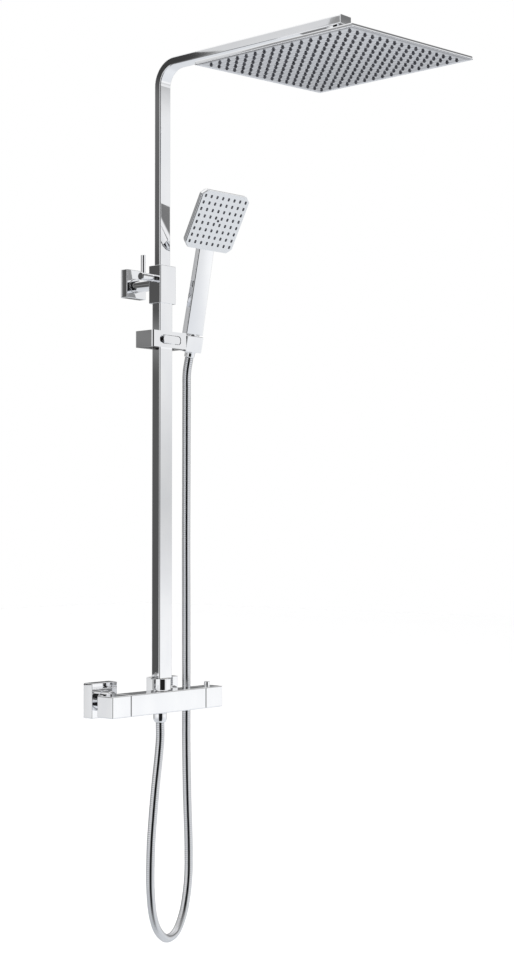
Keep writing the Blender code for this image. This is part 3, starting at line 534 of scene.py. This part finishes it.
def rectangle_points(width, depth, corners, corner_steps, centre, crown=0.0):
    """A rectangle with rounded corners, anticlockwise from the far right one; a crown bows its front."""
    signs = ((1, 1), (-1, 1), (-1, -1), (1, -1))
    points = []
    for quarter, (sx, sy) in enumerate(signs):
        radius = corners[quarter]
        middle = Vector((centre[0] + sx * (width / 2 - radius), centre[1] + sy * (depth / 2 - radius)))
        for step in range(corner_steps + 1):
            angle = math.pi / 2 * (quarter + step / corner_steps)
            points.append(middle + radius * Vector((math.cos(angle), math.sin(angle))))
        if crown and quarter == 2:
            for share in (step / 5 - 1 for step in range(1, 10)):
                points.append(Vector((centre[0] + (width / 2 - radius) * share,
                                      middle.y - radius - crown * (1 - share ** 2))))
    return points


def section(bm, width, depth, corner, height, centre=(0, 0), crown=0.0, corner_steps=5):
    """Edges of one level rounded rectangle."""
    corners = corner if isinstance(corner, tuple) else (corner,) * 4
    points = rectangle_points(width, depth, corners, corner_steps, centre, crown)
    return ring_of(bm, [bm.verts.new((x, y, height)) for x, y in points])


def stack(levels, hollow=False, corner_steps=5):
    """Joins rounded rectangles, given as (width, depth, corner, height, centre, crown), one to the next;
    the last two may be left out.  A hollow stack joins its last rectangle to its first."""
    bm = bmesh.new()
    loops = [section(bm, *level, corner_steps=corner_steps) for level in levels]
    following = loops[1:] + (loops[:1] if hollow else [])
    for loop, further in zip(loops, following):
        ops.bridge_loops(bm, edges=loop + further)
    if not hollow:
        ops.contextual_create(bm, geom=loops[0])
        ops.contextual_create(bm, geom=loops[-1])
    ops.recalc_face_normals(bm, faces=bm.faces)
    return bm


def pull(bm, edges, offset=(0, 0, 0), size=None):
    """Extrudes edges by an offset and, if given, scales the new ones about the origin."""
    grown = ops.extrude_edge_only(bm, edges=edges)["geom"]
    verts = verts_in(grown)
    if size:
        ops.scale(bm, vec=size, verts=verts)
    ops.translate(bm, vec=offset, verts=verts)
    return edges_in(grown)


def holed_rectangle(bm, width, height, radius, sides, offset=(0, 0)):
    """A flat rectangle in XY with a round hole; returns its outer and inner edges."""
    outer, inner = [], []
    for side in range(sides):
        angle = 2 * math.pi * side / sides
        across, up = math.cos(angle), math.sin(angle)
        reach = 1 / max(abs(across), abs(up))
        outer.append(bm.verts.new((across * reach * width / 2, up * reach * height / 2, 0)))
        inner.append(bm.verts.new((offset[0] + across * radius, offset[1] + up * radius, 0)))
    rim, mouth = ring_of(bm, outer), ring_of(bm, inner)
    ops.bridge_loops(bm, edges=rim + mouth)
    return rim, mouth


def add_thread(bm, radius, start, length, pitch, place, along, depth=0.0007):
    """A helical ridge round a rod."""
    root, half = radius - 0.0002, pitch * 0.36
    verts = [bm.verts.new((r, 0, start + h)) for r, h in ((root, -half), (radius + depth, 0.0), (root, half))]
    edges = ring_of(bm, verts)
    cap = bm.faces.new(verts)
    steps = round(length / pitch * THREAD_STEPS)
    spun = ops.spin(bm, geom=verts + edges, cent=(0, 0, 0), axis=UP, steps=steps,
                    angle=2 * math.pi * steps / THREAD_STEPS, dvec=(0, 0, pitch / THREAD_STEPS))
    ops.contextual_create(bm, geom=edges_in(spun["geom_last"]))
    reached = set()
    front = [cap.verts[0]]
    while front:                                  # the ridge is one island: turn all of it into place
        vert = front.pop()
        if vert in reached:
            continue
        reached.add(vert)
        front.extend(edge.other_vert(vert) for edge in vert.link_edges)
    stand(bm, list(reached), place, along)


def tile(bm, pitch, doublings):
    """Repeats all there is in X and in Y, twice as many at each doubling, centred on the origin."""
    for axis in (Vector((1, 0, 0)), Vector((0, 1, 0))):
        for doubling in range(doublings):
            copied = ops.duplicate(bm, geom=everything(bm))["geom"]
            ops.translate(bm, vec=axis * pitch * 2 ** doubling, verts=verts_in(copied))
    ops.remove_doubles(bm, verts=bm.verts, dist=pitch / 1000)
    back = -pitch * (2 ** doublings - 1) / 2
    ops.translate(bm, vec=(back, back, 0), verts=bm.verts)


def perforated(pitch, doublings, radius, lips):
    """A square sheet of holes; each lip is how far its edge is pulled in Z and how much narrower it is."""
    sheet = bmesh.new()
    mouth = holed_rectangle(sheet, pitch, pitch, radius, HOLE_SIDES)[1]
    for offset, narrower in lips:
        mouth = pull(sheet, mouth, (0, 0, offset), (narrower, narrower, 1))
    tile(sheet, pitch, doublings)
    return sheet


def boundary(bm, beyond):
    """Open edges that lie outside a square of the given half side."""
    return [e for e in bm.edges if e.is_boundary
            and max(max(abs(v.co.x), abs(v.co.y)) for v in e.verts) > beyond]


# -------- hose
def smooth_curve(points, step):
    """Points every step along a Catmull-Rom curve through the route."""
    route = [2 * points[0] - points[1]] + points + [2 * points[-1] - points[-2]]
    fine = []
    for a, b, c, d in zip(route, route[1:], route[2:], route[3:]):
        for part in range(40):
            t = part / 40
            fine.append(0.5 * (2 * b + (c - a) * t + (2 * a - 5 * b + 4 * c - d) * t ** 2
                               + (3 * b - a - 3 * c + d) * t ** 3))
    fine.append(route[-2])
    total = sum((q - p).length for p, q in zip(fine, fine[1:]))
    count = round(total / step)
    picked, travelled, want = [fine[0]], 0.0, total / count
    for p, q in zip(fine, fine[1:]):
        length = (q - p).length
        while travelled + length >= want and len(picked) < count:
            picked.append(p.lerp(q, (want - travelled) / length))
            want += total / count
        travelled += length
    return picked + [fine[-1]]


def spiral_groove(turns):
    """Depth of the groove, from 0 on a crown to 1, at a number of turns along the hose."""
    place = (turns % 1.0) * STATIONS_PER_TURN
    here = int(place)
    part = place - here
    following = SPIRAL_PROFILE[(here + 1) % STATIONS_PER_TURN]
    return SPIRAL_PROFILE[here % STATIONS_PER_TURN] * (1 - part) + following * part


def hose_piece(name, centreline, first, last, radius):
    """A tube along part of the centreline, wound with a spiral groove."""
    points = centreline[first:last + 1]
    curve = bpy.data.curves.new(name, "CURVE")
    curve.dimensions = "3D"
    curve.twist_mode = "MINIMUM"
    curve.bevel_depth = radius
    curve.bevel_resolution = HOSE_SIDES // 4 - 2
    spline = curve.splines.new("POLY")
    spline.points.add(len(points) - 1)
    for spot, point in zip(spline.points, points):
        spot.co = (*point, 1.0)
    source = add_object(name, curve)
    mesh = bpy.data.meshes.new_from_object(source.evaluated_get(bpy.context.evaluated_depsgraph_get()))
    bpy.data.objects.remove(source)
    sides = len(mesh.vertices) // len(points)
    # the groove depth also darkens the hose's colour in its material, as painted shade
    groove = mesh.attributes.new("groove", "FLOAT", "POINT")
    for index, vert in enumerate(mesh.vertices):
        station, side = divmod(index, sides)
        depth = spiral_groove((first + station) / STATIONS_PER_TURN + side / sides)
        groove.data[index].value = depth
        centre = points[station]
        vert.co = centre + (vert.co - centre) * (1 - depth * GROOVE_DEPTH / radius)
    bm = bmesh.new()
    bm.from_mesh(mesh)
    ops.holes_fill(bm, edges=[e for e in bm.edges if e.is_boundary])
    bm.to_mesh(mesh)
    bm.free()
    mesh.shade_smooth()
    mesh.set_sharp_from_angle(angle=HOSE_SHARP)
    mesh.materials.clear()
    mesh.materials.append(HOSE_STEEL)
    piece = add_object(name, mesh)
    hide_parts("shower_hose")
    return piece, points


def add_hose():
    """Three lengths that meet, each with its points: the loop stays with the bar, while the run up and the
    top are baked where they lie, on no body.  A slimmer length in the top follows the hand shower when
    lifted."""
    line = smooth_curve([Vector(p) / 1000 for p in HOSE_ROUTE_MM], SPIRAL_PITCH / STATIONS_PER_TURN)
    loop_end = min(i for i, p in enumerate(line) if p.x > 0.045 and p.z < 0)
    top_start = min(i for i, p in enumerate(line) if p.z > 0.37)
    last = len(line) - 1
    loop = hose_piece("hose_loop", line, 0, loop_end, HOSE_RADIUS)
    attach(loop[0], "root")
    run = hose_piece("hose_run", line, loop_end, top_start, HOSE_RADIUS)
    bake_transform(run[0])
    top = hose_piece("hose_top", line, top_start, last, HOSE_RADIUS)
    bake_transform(top[0])
    inner = hose_piece("hose_inner_length", line, last + 1 - INNER_STATIONS, last, HOSE_RADIUS - 0.0009)
    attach(inner[0], "hose_nut")
    return loop, run, top


# -------- wall inlets
def cover_plate(name, node, radius, hole):
    """A square cover with an open back and a round hole for the pipe."""
    low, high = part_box(node)
    middle = middle_of(node)
    bm = bmesh.new()
    rim, mouth = holed_rectangle(bm, high.x - low.x, high.z - low.z, radius, 64,
                                 (hole[0] - middle.x, hole[1] - middle.z))
    pull(bm, mouth, (0, 0, -0.0016))
    pull(bm, rim, (0, 0, low.y - high.y + 0.0002))
    ops.recalc_face_normals(bm, faces=bm.faces)
    soften(bm, 0.0012, 4, above=50)
    place = Matrix.Translation((middle.x, low.y, middle.z)) @ FACING_ROOM
    finish_piece(name, bm, "root", node, wall=0.0013, place=place)


def wall_inlet(side):
    x = middle_of(f"union_nut_{side}").x
    cover_plate(f"wall_cover_{side}", f"wall_flange_{side}", 0.0160, (x, WALL_PIPE_Z))
    barrel = turned([(0.0070, 0.0), (0.0155, 0.0), (0.0155, 0.0376), (0.0146, 0.0385), (0.0070, 0.0385)],
                    (x, 0, WALL_PIPE_Z), TO_ROOM)
    merge_in(barrel, turned([(0.0075, 0.0380), (0.0115, 0.0380), (0.0115, 0.0441), (0.0130, 0.0441),
                             (0.0130, 0.0483), (0.0075, 0.0483)], (x, 0, 0), TO_ROOM))
    finish_piece(f"union_barrel_{side}", barrel, "root", f"eccentric_union_{side}")
    tail = turned([(0.0072, -0.0130), (0.0096, -0.0130), (0.0100, -0.0124), (0.0100, -0.0004),
                   (0.0072, -0.0004)], (x, 0, WALL_PIPE_Z), TO_ROOM, 40)
    add_thread(tail, 0.0098, -0.0114, 0.0096, 0.0018, (x, 0, WALL_PIPE_Z), TO_ROOM, 0.0006)
    finish_piece(f"union_thread_{side}", tail, "root", f"eccentric_union_{side}", BRASS)
    nut = turned([(0.0122, 0.0400), (0.0150, 0.0400), (0.0160, 0.0410), (0.0160, 0.0626), (0.0150, 0.0636),
                  (0.0137, 0.0636), (0.0137, 0.0437), (0.0122, 0.0437)], (x, 0, 0), TO_ROOM, edge=0)
    finish_piece(f"inlet_nut_{side}", nut, "root", f"union_nut_{side}")


# -------- valve bar
def valve_bar():
    low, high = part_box("valve_body")
    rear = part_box("flow_handle")[1].y
    body = rounded_box(low, (high.x, rear, high.z), BAR_EDGE)
    for side in SIDES:
        inlet = [(0.0090, 0.0520), (0.0132, 0.0520), (0.0132, -rear + 0.0005), (0.0090, -rear + 0.0005)]
        merge_in(body, turned(inlet, (middle_of(f"union_nut_{side}").x, 0, 0), TO_ROOM, 48))
    finish_piece("bar_body", body, "root", "valve_body")
    for handle in ("flow_handle", "temperature_handle"):
        finish_piece(f"{handle}_cap", rounded_box(*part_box(handle), BAR_EDGE), handle, handle)


def stop_button():
    low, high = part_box("temperature_stop_button")
    x, top = middle_of("temperature_stop_button").x, high.z
    bm = turned([(0, low.z), (0.0060, low.z), (0.0060, low.z + 0.0016), (0.0050, low.z + 0.0018),
                 (0.0050, top - 0.0006), (0.0046, top - 0.0001), (0.0036, top), (0, top - 0.0002)],
                (x, BAR_Y, 0), UP, edge=0.0001)
    finish_piece("safety_button", bm, "stop_button", "temperature_stop_button")
    ring = turned([(0.0052, top - 0.0082), (0.0062, top - 0.0082), (0.0062, top - 0.0077),
                   (0.0058, top - 0.0074), (0.0052, top - 0.0074)], (x, BAR_Y, 0), UP, edge=0)
    finish_piece("button_guide_ring", ring, "temperature_handle")


def outlet_fittings():
    foot = turned([(0.0094, 0.0300), (0.0094, 0.0396), (0.0148, 0.0396), (0.0158, 0.0386), (0.0158, 0.0204),
                   (0.0148, 0.0185), (0.0122, 0.0185), (0.0122, 0.0300)], (0, BAR_Y, 0), UP, 72, 0.0004)
    finish_piece("riser_nut", foot, "root", "riser_foot_nut")
    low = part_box("hose_outlet_nut")[0].z
    nut = turned([(0.0094, -0.0185), (0.0104, -0.0185), (0.0112, -0.0194), (0.0115, -0.0210),
                  (0.0115, -0.0285), (0.0110, -0.0315), (0.0098, -0.0338), (0.0088, low), (0.0078, low),
                  (0.0078, -0.0334), (0.0094, -0.0334)], (OUTLET_X, BAR_Y, 0), UP, edge=0.0002)
    return finish_piece("outlet_nut", nut, "root", "hose_outlet_nut")


# -------- riser, collar and arm
def lower_riser():
    low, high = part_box("lower_riser_tube")
    width, depth = high.x - low.x, high.y - low.y
    outer, inner = (width, depth, 0.0022), (width - 0.0036, depth - 0.0038, 0.0006)
    centre = middle_of("lower_riser_tube").xy
    bm = stack([(*outer, low.z, centre), (*outer, high.z, centre), (*inner, high.z, centre),
                (*inner, low.z, centre)], hollow=True)
    soften(bm, 0.0004, 2, 60)
    finish_piece("wide_riser", bm, "root", "lower_riser_tube")
    left = (low.x, BAR_Y, middle_of("riser_grub_screw").z)
    ring = turned([(0.0023, -0.0006), (0.0032, -0.0006), (0.0036, 0.0), (0.0032, 0.0005), (0.0026, 0.0005),
                   (0.0023, 0.0001)], left, TO_LEFT, 40, 0)
    finish_piece("grub_screw_seat", ring, "root")
    screw = turned([(0, -0.0074), (0.0022, -0.0074), (0.0022, -0.0004), (0.0018, 0.0), (0.0011, 0.0),
                    (0.0011, -0.0018), (0, -0.0018)], left, TO_LEFT, 6, 0)
    finish_piece("grub_screw", screw, "root", "riser_grub_screw", SPRING_STEEL)


def telescopic_arm():
    """The slim tube: up, round the bend and out over the head."""
    low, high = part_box("upper_riser_arm")
    width, depth = high.x - low.x, 2 * (high.y - BAR_Y)
    arm_z = high.z - depth / 2
    bend = 0.038
    bm = bmesh.new()
    loop = section(bm, width, depth, 0.0022, low.z, (0, BAR_Y))
    loop = pull(bm, loop, (0, 0, arm_z - bend - low.z))
    spun = ops.spin(bm, geom=loop, cent=(0, BAR_Y - bend, arm_z - bend), axis=(1, 0, 0),
                    angle=math.pi / 2, steps=36, use_duplicate=False)["geom_last"]
    pull(bm, edges_in(spun), (0, low.y - (BAR_Y - bend), 0))
    finish_piece("slim_riser_and_arm", bm, "upper_riser", "upper_riser_arm", wall=0.0014)
    cap_low, cap_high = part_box("arm_end_cap")
    cap = rounded_box((cap_low.x, cap_low.y, arm_z - depth / 2),
                      (cap_high.x, low.y - 0.0003, arm_z + depth / 2), 0.0006, 3)
    finish_piece("arm_cap", cap, "upper_riser", "arm_end_cap")


def riser_collar():
    low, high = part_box("riser_collar")
    outer = (high.x - low.x, high.y - low.y, 0.0020)
    centre = (0, BAR_Y)
    wide, slim = (0.0316, 0.0202, 0.0012), (0.0264, 0.0148, 0.0016)
    step = high.z - 0.0044
    bm = stack([(*outer, low.z, centre), (*outer, high.z, centre), (*slim, high.z, centre),
                (*slim, step, centre), (*wide, step, centre), (*wide, low.z, centre)], hollow=True)
    soften(bm, 0.0009, 3, 60, lambda m: abs(m.x) > 0.0170 or abs(m.y - BAR_Y) > 0.0120)
    finish_piece("collar", bm, "root", "riser_collar")


def lock_handle():
    spindle = turned([(0, 0.0156), (0.0041, 0.0156), (0.0041, 0.0193), (0.0058, 0.0193), (0.0062, 0.0199),
                      (0.0062, 0.0247), (0.0052, 0.0262), (0.0052, 0.0272), (0.0060, 0.0280),
                      (0.0060, 0.0292), (0.0041, 0.0293), (0.0041, 0.0395), (0, 0.0395)],
                     (0, LOCK.y, LOCK.z), TO_LEFT, edge=0.0002)
    finish_piece("lock_stem", spindle, "lock_lever", "lock_spindle")
    knob = turned([(0.0044, 0.0297), (0.0064, 0.0297), (0.0064, 0.0398), (0.0062, 0.0404), (0.0062, 0.0410),
                   (0.0070, 0.0418), (0.0070, 0.0520), (0.0060, 0.0530), (0, 0.0530), (0, 0.0402),
                   (0.0044, 0.0402)], (0, LOCK.y, LOCK.z), TO_LEFT, edge=0.0002)
    finish_piece("lock_grip", knob, "lock_lever", "lock_knob")
    low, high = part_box("lock_lever_pin")
    pin = turned([(0, low.z), (0.0041, low.z), (0.0041, high.z - 0.0008), (0.0035, high.z - 0.0001),
                  (0, high.z)], (middle_of("lock_lever_pin").x, LOCK.y, 0), UP, edge=0.0002)
    finish_piece("lock_peg", pin, "lock_lever", "lock_lever_pin")


def wall_bracket():
    cover_plate("bracket_cover", "bracket_flange", 0.0119, (0, STUB_Z))
    low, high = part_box("bracket_stub")
    stub = turned([(0, -high.y), (0.0116, -high.y), (0.0116, -low.y), (0, -low.y)], (0, 0, STUB_Z), TO_ROOM)
    finish_piece("bracket_arm", stub, "root", "bracket_stub")
    for level in ("upper", "lower"):
        middle = middle_of(f"anchor_screw_{level}")
        place = (middle.x, 0, middle.z)
        screw = turned([(0, -0.0200), (0.0010, -0.0176), (0.0015, -0.0150), (0.0015, 0.0040),
                        (0.0022, 0.0053), (0.0042, 0.0053), (0.0040, 0.0066), (0.0030, 0.0078),
                        (0.0013, 0.0080), (0.0013, 0.0066), (0, 0.0066)], place, TO_ROOM, 32, 0)
        add_thread(screw, 0.0015, -0.0155, 0.0180, 0.0016, place, TO_ROOM, 0.0007)
        finish_piece(f"wall_screw_{level}", screw, "root", f"anchor_screw_{level}", SPRING_STEEL)


# -------- rain head
RAIN_PITCH, RAIN_DOUBLINGS = 0.01835, 4          # 16 by 16 nozzles
SPRAY_PITCH, SPRAY_DOUBLINGS = 0.0120, 3         # 8 by 8 nozzles


def on_ball(radius, degrees):
    """The (radius, height) of a point on a ball, at degrees from its top."""
    angle = math.radians(degrees)
    return (radius * math.sin(angle), radius * math.cos(angle))


def ball_joint():
    seat = [(0.0035, 0.0322), (0.0120, 0.0322), (0.0120, 0.0120), (0.0110, 0.0120)]
    seat += [on_ball(BALL_SEAT_RADIUS, degrees) for degrees in range(88, 19, -8)]
    finish_piece("swivel_housing", turned(seat, BALL, UP), "upper_riser", "swivel_seat")
    nut = [(0.0113, 0.0105), (0.0128, 0.0105), (0.0136, 0.0097), (0.0136, 0.0040), (0.0132, 0.0036),
           (0.0132, 0.0030), (0.0136, 0.0026), (0.0136, -0.0060), (0.0128, -0.0069), (0.0084, -0.0069)]
    nut += [on_ball(BALL_SEAT_RADIUS, degrees) for degrees in (130, 122, 114, 106, 98)]
    nut += [(0.0113, -0.0008)]
    finish_piece("swivel_ring_nut", turned(nut, BALL, UP, edge=0.0002), "upper_riser", "swivel_nut")
    stem = [(0.0025, 0.0086)] + [on_ball(BALL_RADIUS, degrees) for degrees in range(18, 143, 8)]
    stem += [(0.0054, -0.0138), (0.0140, -0.0142), (0.0140, -0.0164), (0.0025, -0.0164)]
    finish_piece("head_ball", turned(stem, edge=0.0001), "rain_head", "head_ball_stem",
                 place=HEAD_FRAME)


def rain_head():
    side, rim = HEAD_SIDE, FACE_DROP + 0.0018
    cover = stack([(side - 0.0006, side - 0.0006, 0.0012, rim), (side, side, 0.0015, rim + 0.0004),
                   (side, side, 0.0015, rim + 0.0032), (side - 0.0012, side - 0.0012, 0.0015, rim + 0.0040),
                   (0.066, 0.066, 0.006, rim + 0.0084), (0.060, 0.060, 0.006, rim + 0.0087)])
    finish_piece("head_back", cover, "rain_head", "head_top_cover", place=HEAD_FRAME)
    face = perforated(RAIN_PITCH, RAIN_DOUBLINGS, 0.0040, ((-0.0002, 0.86), (0.0005, 0.92)))
    edge = boundary(face, RAIN_PITCH * 7.9)
    reach = RAIN_PITCH * 8
    rim_profile = ((0.1540, 0.0), (0.1545, -0.0003), (0.1556, -0.0003), (side / 2, 0.0001),
                   (side / 2, 0.0010))
    for half, height in rim_profile:
        grow = half / reach
        edge = pull(face, edge, (0, 0, 0), (grow, grow, 1))
        for vert in {v for e in edge for v in e.verts}:
            vert.co.z = height
        reach = half
    plate = HEAD_FRAME @ Matrix.Translation((0, 0, FACE_DROP + 0.0005))
    finish_piece("rain_face", face, "rain_head", "head_face_plate", RAIN_FACE, wall=0.0007,
                 place=plate)
    nozzle = turned([(0, 0.0012), (0.0028, 0.0012), (0.0027, -0.0002), (0.0019, -0.0028), (0.0014, -0.0031),
                     (0.0007, -0.0024), (0, -0.0024)], steps=12, edge=0)
    tile(nozzle, RAIN_PITCH, RAIN_DOUBLINGS)
    merge_in(nozzle, rounded_box((-0.149, -0.149, 0.0011), (0.149, 0.149, 0.0019), 0.0003, 1))
    finish_piece("rain_nozzles", nozzle, "rain_head", "head_nozzle_mat", NOZZLE_RUBBER,
                 place=plate)


# -------- slider and holder
def slider():
    low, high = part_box("slider_body")
    centre = middle_of("slider_body").xy
    outer = (high.x - low.x, high.y - low.y, (0.0016, 0.0030, 0.0042, 0.0012))
    way = (0.0366, 0.0252, 0.0010)
    bm = stack([(*outer, low.z, centre), (*outer, high.z, centre), (*way, high.z, (0, BAR_Y)),
                (*way, low.z, (0, BAR_Y))], hollow=True, corner_steps=6)
    cut_thumb_pocket(bm, low.y)
    soften(bm, 0.0010, 3, 60, lambda m: m.y < low.y + 0.0001 or abs(m.x) > 0.0200 or m.y > high.y - 0.0001)
    finish_piece("slider_block", bm, "slider", "slider_body")
    thumb_lever()


def cut_thumb_pocket(bm, front):
    """A long hole with round ends in the slider's front."""
    left, right, half, sunk_by = -0.0212, 0.0270, 0.0076, 0.0047
    for axis, value in ((0, left), (0, right), (2, THUMB_PIN.z - half), (2, THUMB_PIN.z + half)):
        point, normal = Vector((0, 0, 0)), Vector((0, 0, 0))
        point[axis], normal[axis] = value, 1.0
        ops.bisect_plane(bm, geom=everything(bm), dist=0.00001, plane_co=point, plane_no=normal)

    def in_opening(middle):
        return (abs(middle.y - front) < 0.0001 and left < middle.x < right
                and abs(middle.z - THUMB_PIN.z) < half)
    patch = [f for f in bm.faces if in_opening(f.calc_center_median())]
    sunk = ops.extrude_face_region(bm, geom=patch)["geom"]
    ops.delete(bm, geom=[f for f in patch if f.is_valid], context="FACES")
    ops.translate(bm, vec=(0, sunk_by, 0), verts=verts_in(sunk))
    ends = [e for e in bm.edges if abs(e.verts[0].co.y - e.verts[1].co.y) > 0.004
            and abs((e.verts[0].co.y + e.verts[1].co.y) / 2 - front - sunk_by / 2) < 0.0005
            and left - 0.001 < e.verts[0].co.x < right + 0.001]
    ops.bevel(bm, geom=ends, offset=0.0060, segments=8, profile=0.5, affect="EDGES", material=-1)


def thumb_lever():
    """A pill-shaped wedge on a pin: its left end stands proud and is pressed in."""
    plan = ((0.0045, -0.0021), (-0.0415, -0.0072), (-0.0415, -0.0024), (-0.0075, 0.0018), (0.0045, 0.0018))
    half_height = 0.0069
    bm = bmesh.new()
    face = bm.faces.new([bm.verts.new((x, y, -half_height)) for x, y in plan])
    solid = ops.extrude_face_region(bm, geom=[face])["geom"]
    ops.translate(bm, vec=(0, 0, 2 * half_height), verts=verts_in(solid))
    ends = [e for e in bm.edges if abs(e.verts[0].co.x - e.verts[1].co.x) < 0.001
            and abs(e.verts[0].co.z - e.verts[1].co.z) < 0.001]
    ops.bevel(bm, geom=ends, offset=0.0062, segments=8, profile=0.5, affect="EDGES", material=-1)
    ops.recalc_face_normals(bm, faces=bm.faces)
    soften(bm, 0.0006, 3, 45, lambda m: m.y < 0)
    finish_piece("thumb_button", bm, "thumb_lever", "slider_thumb_lever",
                 place=Matrix.Translation(THUMB_PIN))


def handset_holder():
    """A block with a tapered socket, open to the right so that the hose can pass in."""
    left, right, half_depth, top = 0.0423, 0.0820, 0.0160, 0.0140
    mouth, steps = 0.0082, 40
    bm = bmesh.new()
    loops = []
    for height, radius in ((-top, 0.0106), (top, 0.0122)):
        start = math.asin(mouth / radius)
        outline = [(right, mouth), (right, half_depth), (left, half_depth), (left, -half_depth),
                   (right, -half_depth), (right, -mouth)]
        for step in range(steps + 1):
            angle = -start - (2 * math.pi - 2 * start) * step / steps
            outline.append((SOCKET.x + radius * math.cos(angle), radius * math.sin(angle)))
        verts = [bm.verts.new((x, y, height)) for x, y in outline]
        loops.append(ring_of(bm, verts))
        bm.faces.new(verts)
    ops.bridge_loops(bm, edges=loops[0] + loops[1])
    ops.recalc_face_normals(bm, faces=bm.faces)

    def is_socket(middle):
        return math.hypot(middle.x - SOCKET.x, middle.y) < 0.0128 and middle.x < right - 0.0005
    soften(bm, 0.0018, 4, 60, lambda m: not is_socket(m))
    soften(bm, 0.0004, 2, 60, is_socket)
    finish_piece("holder_block", bm, "holder", "handset_holder", place=HOLDER_FRAME)


# -------- hand shower
def hose_nut():
    nut = turned([(0.0082, 0.0153), (0.0118, 0.0153), (0.0102, -0.0150), (0.0090, -0.0162),
                  (0.0088, -0.0170), (0.0088, -0.0225), (0.0081, -0.0240), (0.0070, -0.0240),
                  (0.0040, -0.0200), (0.0040, 0.0040), (0.0082, 0.0040)])
    return finish_piece("cone_nut", nut, "hose_nut", "hose_cone_nut", place=NUT_FRAME)


def hand_shower():
    """A tapering handle with a slightly crowned front, and a slab with cut corners for the head."""
    levels = [(0.0360 - 0.0045 * share - inset, 0.0142 - 0.0026 * share - inset, 0.0022,
               0.0159 + 0.164 * share, (0, 0.0004), 0.0010)
              for share, inset in ((0.0, 0.0016), (0.004, 0.0005), (0.012, 0.0), (0.3, 0.0), (0.6, 0.0),
                                   (0.9, 0.0), (1.0, 0.0))]
    handle = stack(levels, corner_steps=4)
    merge_in(handle, turned([(0.0040, 0.0066), (0.0078, 0.0066), (0.0078, 0.0170), (0.0040, 0.0170)]))
    finish_piece("handset_handle", handle, "handset", "handset_shell", place=HANDSET_FRAME)

    steps = ((0.0008, 0.0021), (0.0, 0.0027), (0.0, 0.0040), (0.0008, 0.0090), (0.0026, 0.0140),
             (0.0050, 0.0170), (0.0092, 0.0186), (0.0150, 0.0190))
    slab = stack([(SPRAY_WIDTH - 2 * inset, SPRAY_HEIGHT - 2 * inset, SPRAY_CORNER - inset * 0.3, depth)
                  for inset, depth in steps], corner_steps=1)
    soften(slab, 0.0016, 3, 30, lambda m: 0.002 < m.z < 0.015)
    finish_piece("handset_head", slab, "handset", "handset_shell", place=SPRAY_FRAME)

    face = perforated(SPRAY_PITCH, SPRAY_DOUBLINGS, 0.0022, ((0.0003, 0.88), (0.0006, 0.98)))
    rim = SPRAY_RIM / (4 * SPRAY_PITCH)
    pull(face, boundary(face, SPRAY_PITCH * 3.9), (0, -0.0001, 0), (rim.x, rim.y, 1))
    finish_face(face)
    plate = SPRAY_FRAME @ Matrix.Translation((0, 0, 0.0002))
    finish_piece("spray_face", face, "handset", "handset_spray_plate", SPRAY_FACE,
                 wall=0.0008, place=plate)
    nozzle = turned([(0, 0.0010), (0.0020, 0.0010), (0.0020, -0.0001), (0.0016, -0.0003), (0, -0.0004)],
                    steps=12, edge=0)
    tile(nozzle, SPRAY_PITCH, SPRAY_DOUBLINGS)
    merge_in(nozzle, turned([(0, 0.0010), (0.0021, 0.0010), (0.0021, -0.0004), (0.0012, -0.0007),
                             (0, -0.0007)], steps=16, edge=0))
    merge_in(nozzle, rounded_box((-0.044, -0.047, 0.0012), (0.044, 0.047, 0.0018), 0.0002, 1))
    finish_piece("spray_nozzles", nozzle, "handset", "handset_nozzle_mat", NOZZLE_RUBBER,
                 place=SPRAY_FRAME @ Matrix.Translation((0, -0.002, 0)))


def finish_face(face):
    """Cuts the spray face's corners and folds its rim back."""
    for sx, sy in ((1, 1), (-1, 1), (-1, -1), (1, -1)):
        point = Vector((sx * (SPRAY_RIM.x - SPRAY_CORNER), sy * SPRAY_RIM.y, 0))
        ops.bisect_plane(face, geom=everything(face), dist=0.000001, plane_co=point,
                         plane_no=(sx, sy, 0), clear_outer=True)

    def on_rim(vert):
        x, y = abs(vert.co.x), abs(vert.co.y)
        return x + y > 0.058 or max(x, y) > 0.0479
    rim = [e for e in face.edges if e.is_boundary and any(on_rim(v) for v in e.verts)]
    rim = pull(face, rim, (0, 0, 0.0004), (1.016, 1.015, 1))
    pull(face, rim, (0, 0, 0.0011))


# -------- assembly
def finish_inner_nodes():
    """Pieces of the frame that keep their own shape get the finish of their slot."""
    slot_of = {part["node"]: part["material_slot"] for part in frame["record"]["subparts"]}
    for node, piece in frame["nodes"].items():
        piece.data.materials.clear()
        piece.data.materials.append(FINISH_OF_SLOT[slot_of[node]])


scene = bpy.context.scene
scene.view_settings.view_transform = "Standard"
add_camera()
hose = add_hose()
add_surroundings()
add_lamp("key_softbox", (1.6, -2.4, 2.3), (0, -0.2, 0.4), (1.8, 2.4), 45)
add_lamp("fill_softbox", (-2.8, -1.2, 2.0), (0, -0.2, 0.5), (1.2, 2.0), 18)
add_floor()
# screens that paint dark reflections on the riser, collar and arm, and on the rain head
add_dark_screen("riser_screen", (-0.66, 0.30, 0.0), (-0.24, 0.30, 1.30), (0.46, 0.9),
                ((0.0, 0.085), (0.46, 0.10), (0.525, 0.22), (0.57, 0.09), (0.63, 0.085), (0.70, 0.12),
                 (0.90, 0.15), (0.945, 0.05), (1.0, 0.05)))
add_dark_screen("head_screen", (-1.50, 0.30, 1.10), (-0.98, 0.30, 1.50), (0.10, 0.95),
                ((0.0, 0.24), (0.5, 0.34), (1.0, 0.30)))

finish_inner_nodes()
for inlet in SIDES:
    wall_inlet(inlet)
valve_bar()
stop_button()
outlet = outlet_fittings()
lower_riser()
telescopic_arm()
riser_collar()
lock_handle()
wall_bracket()
ball_joint()
rain_head()
slider()
handset_holder()
cone = hose_nut()
hand_shower()
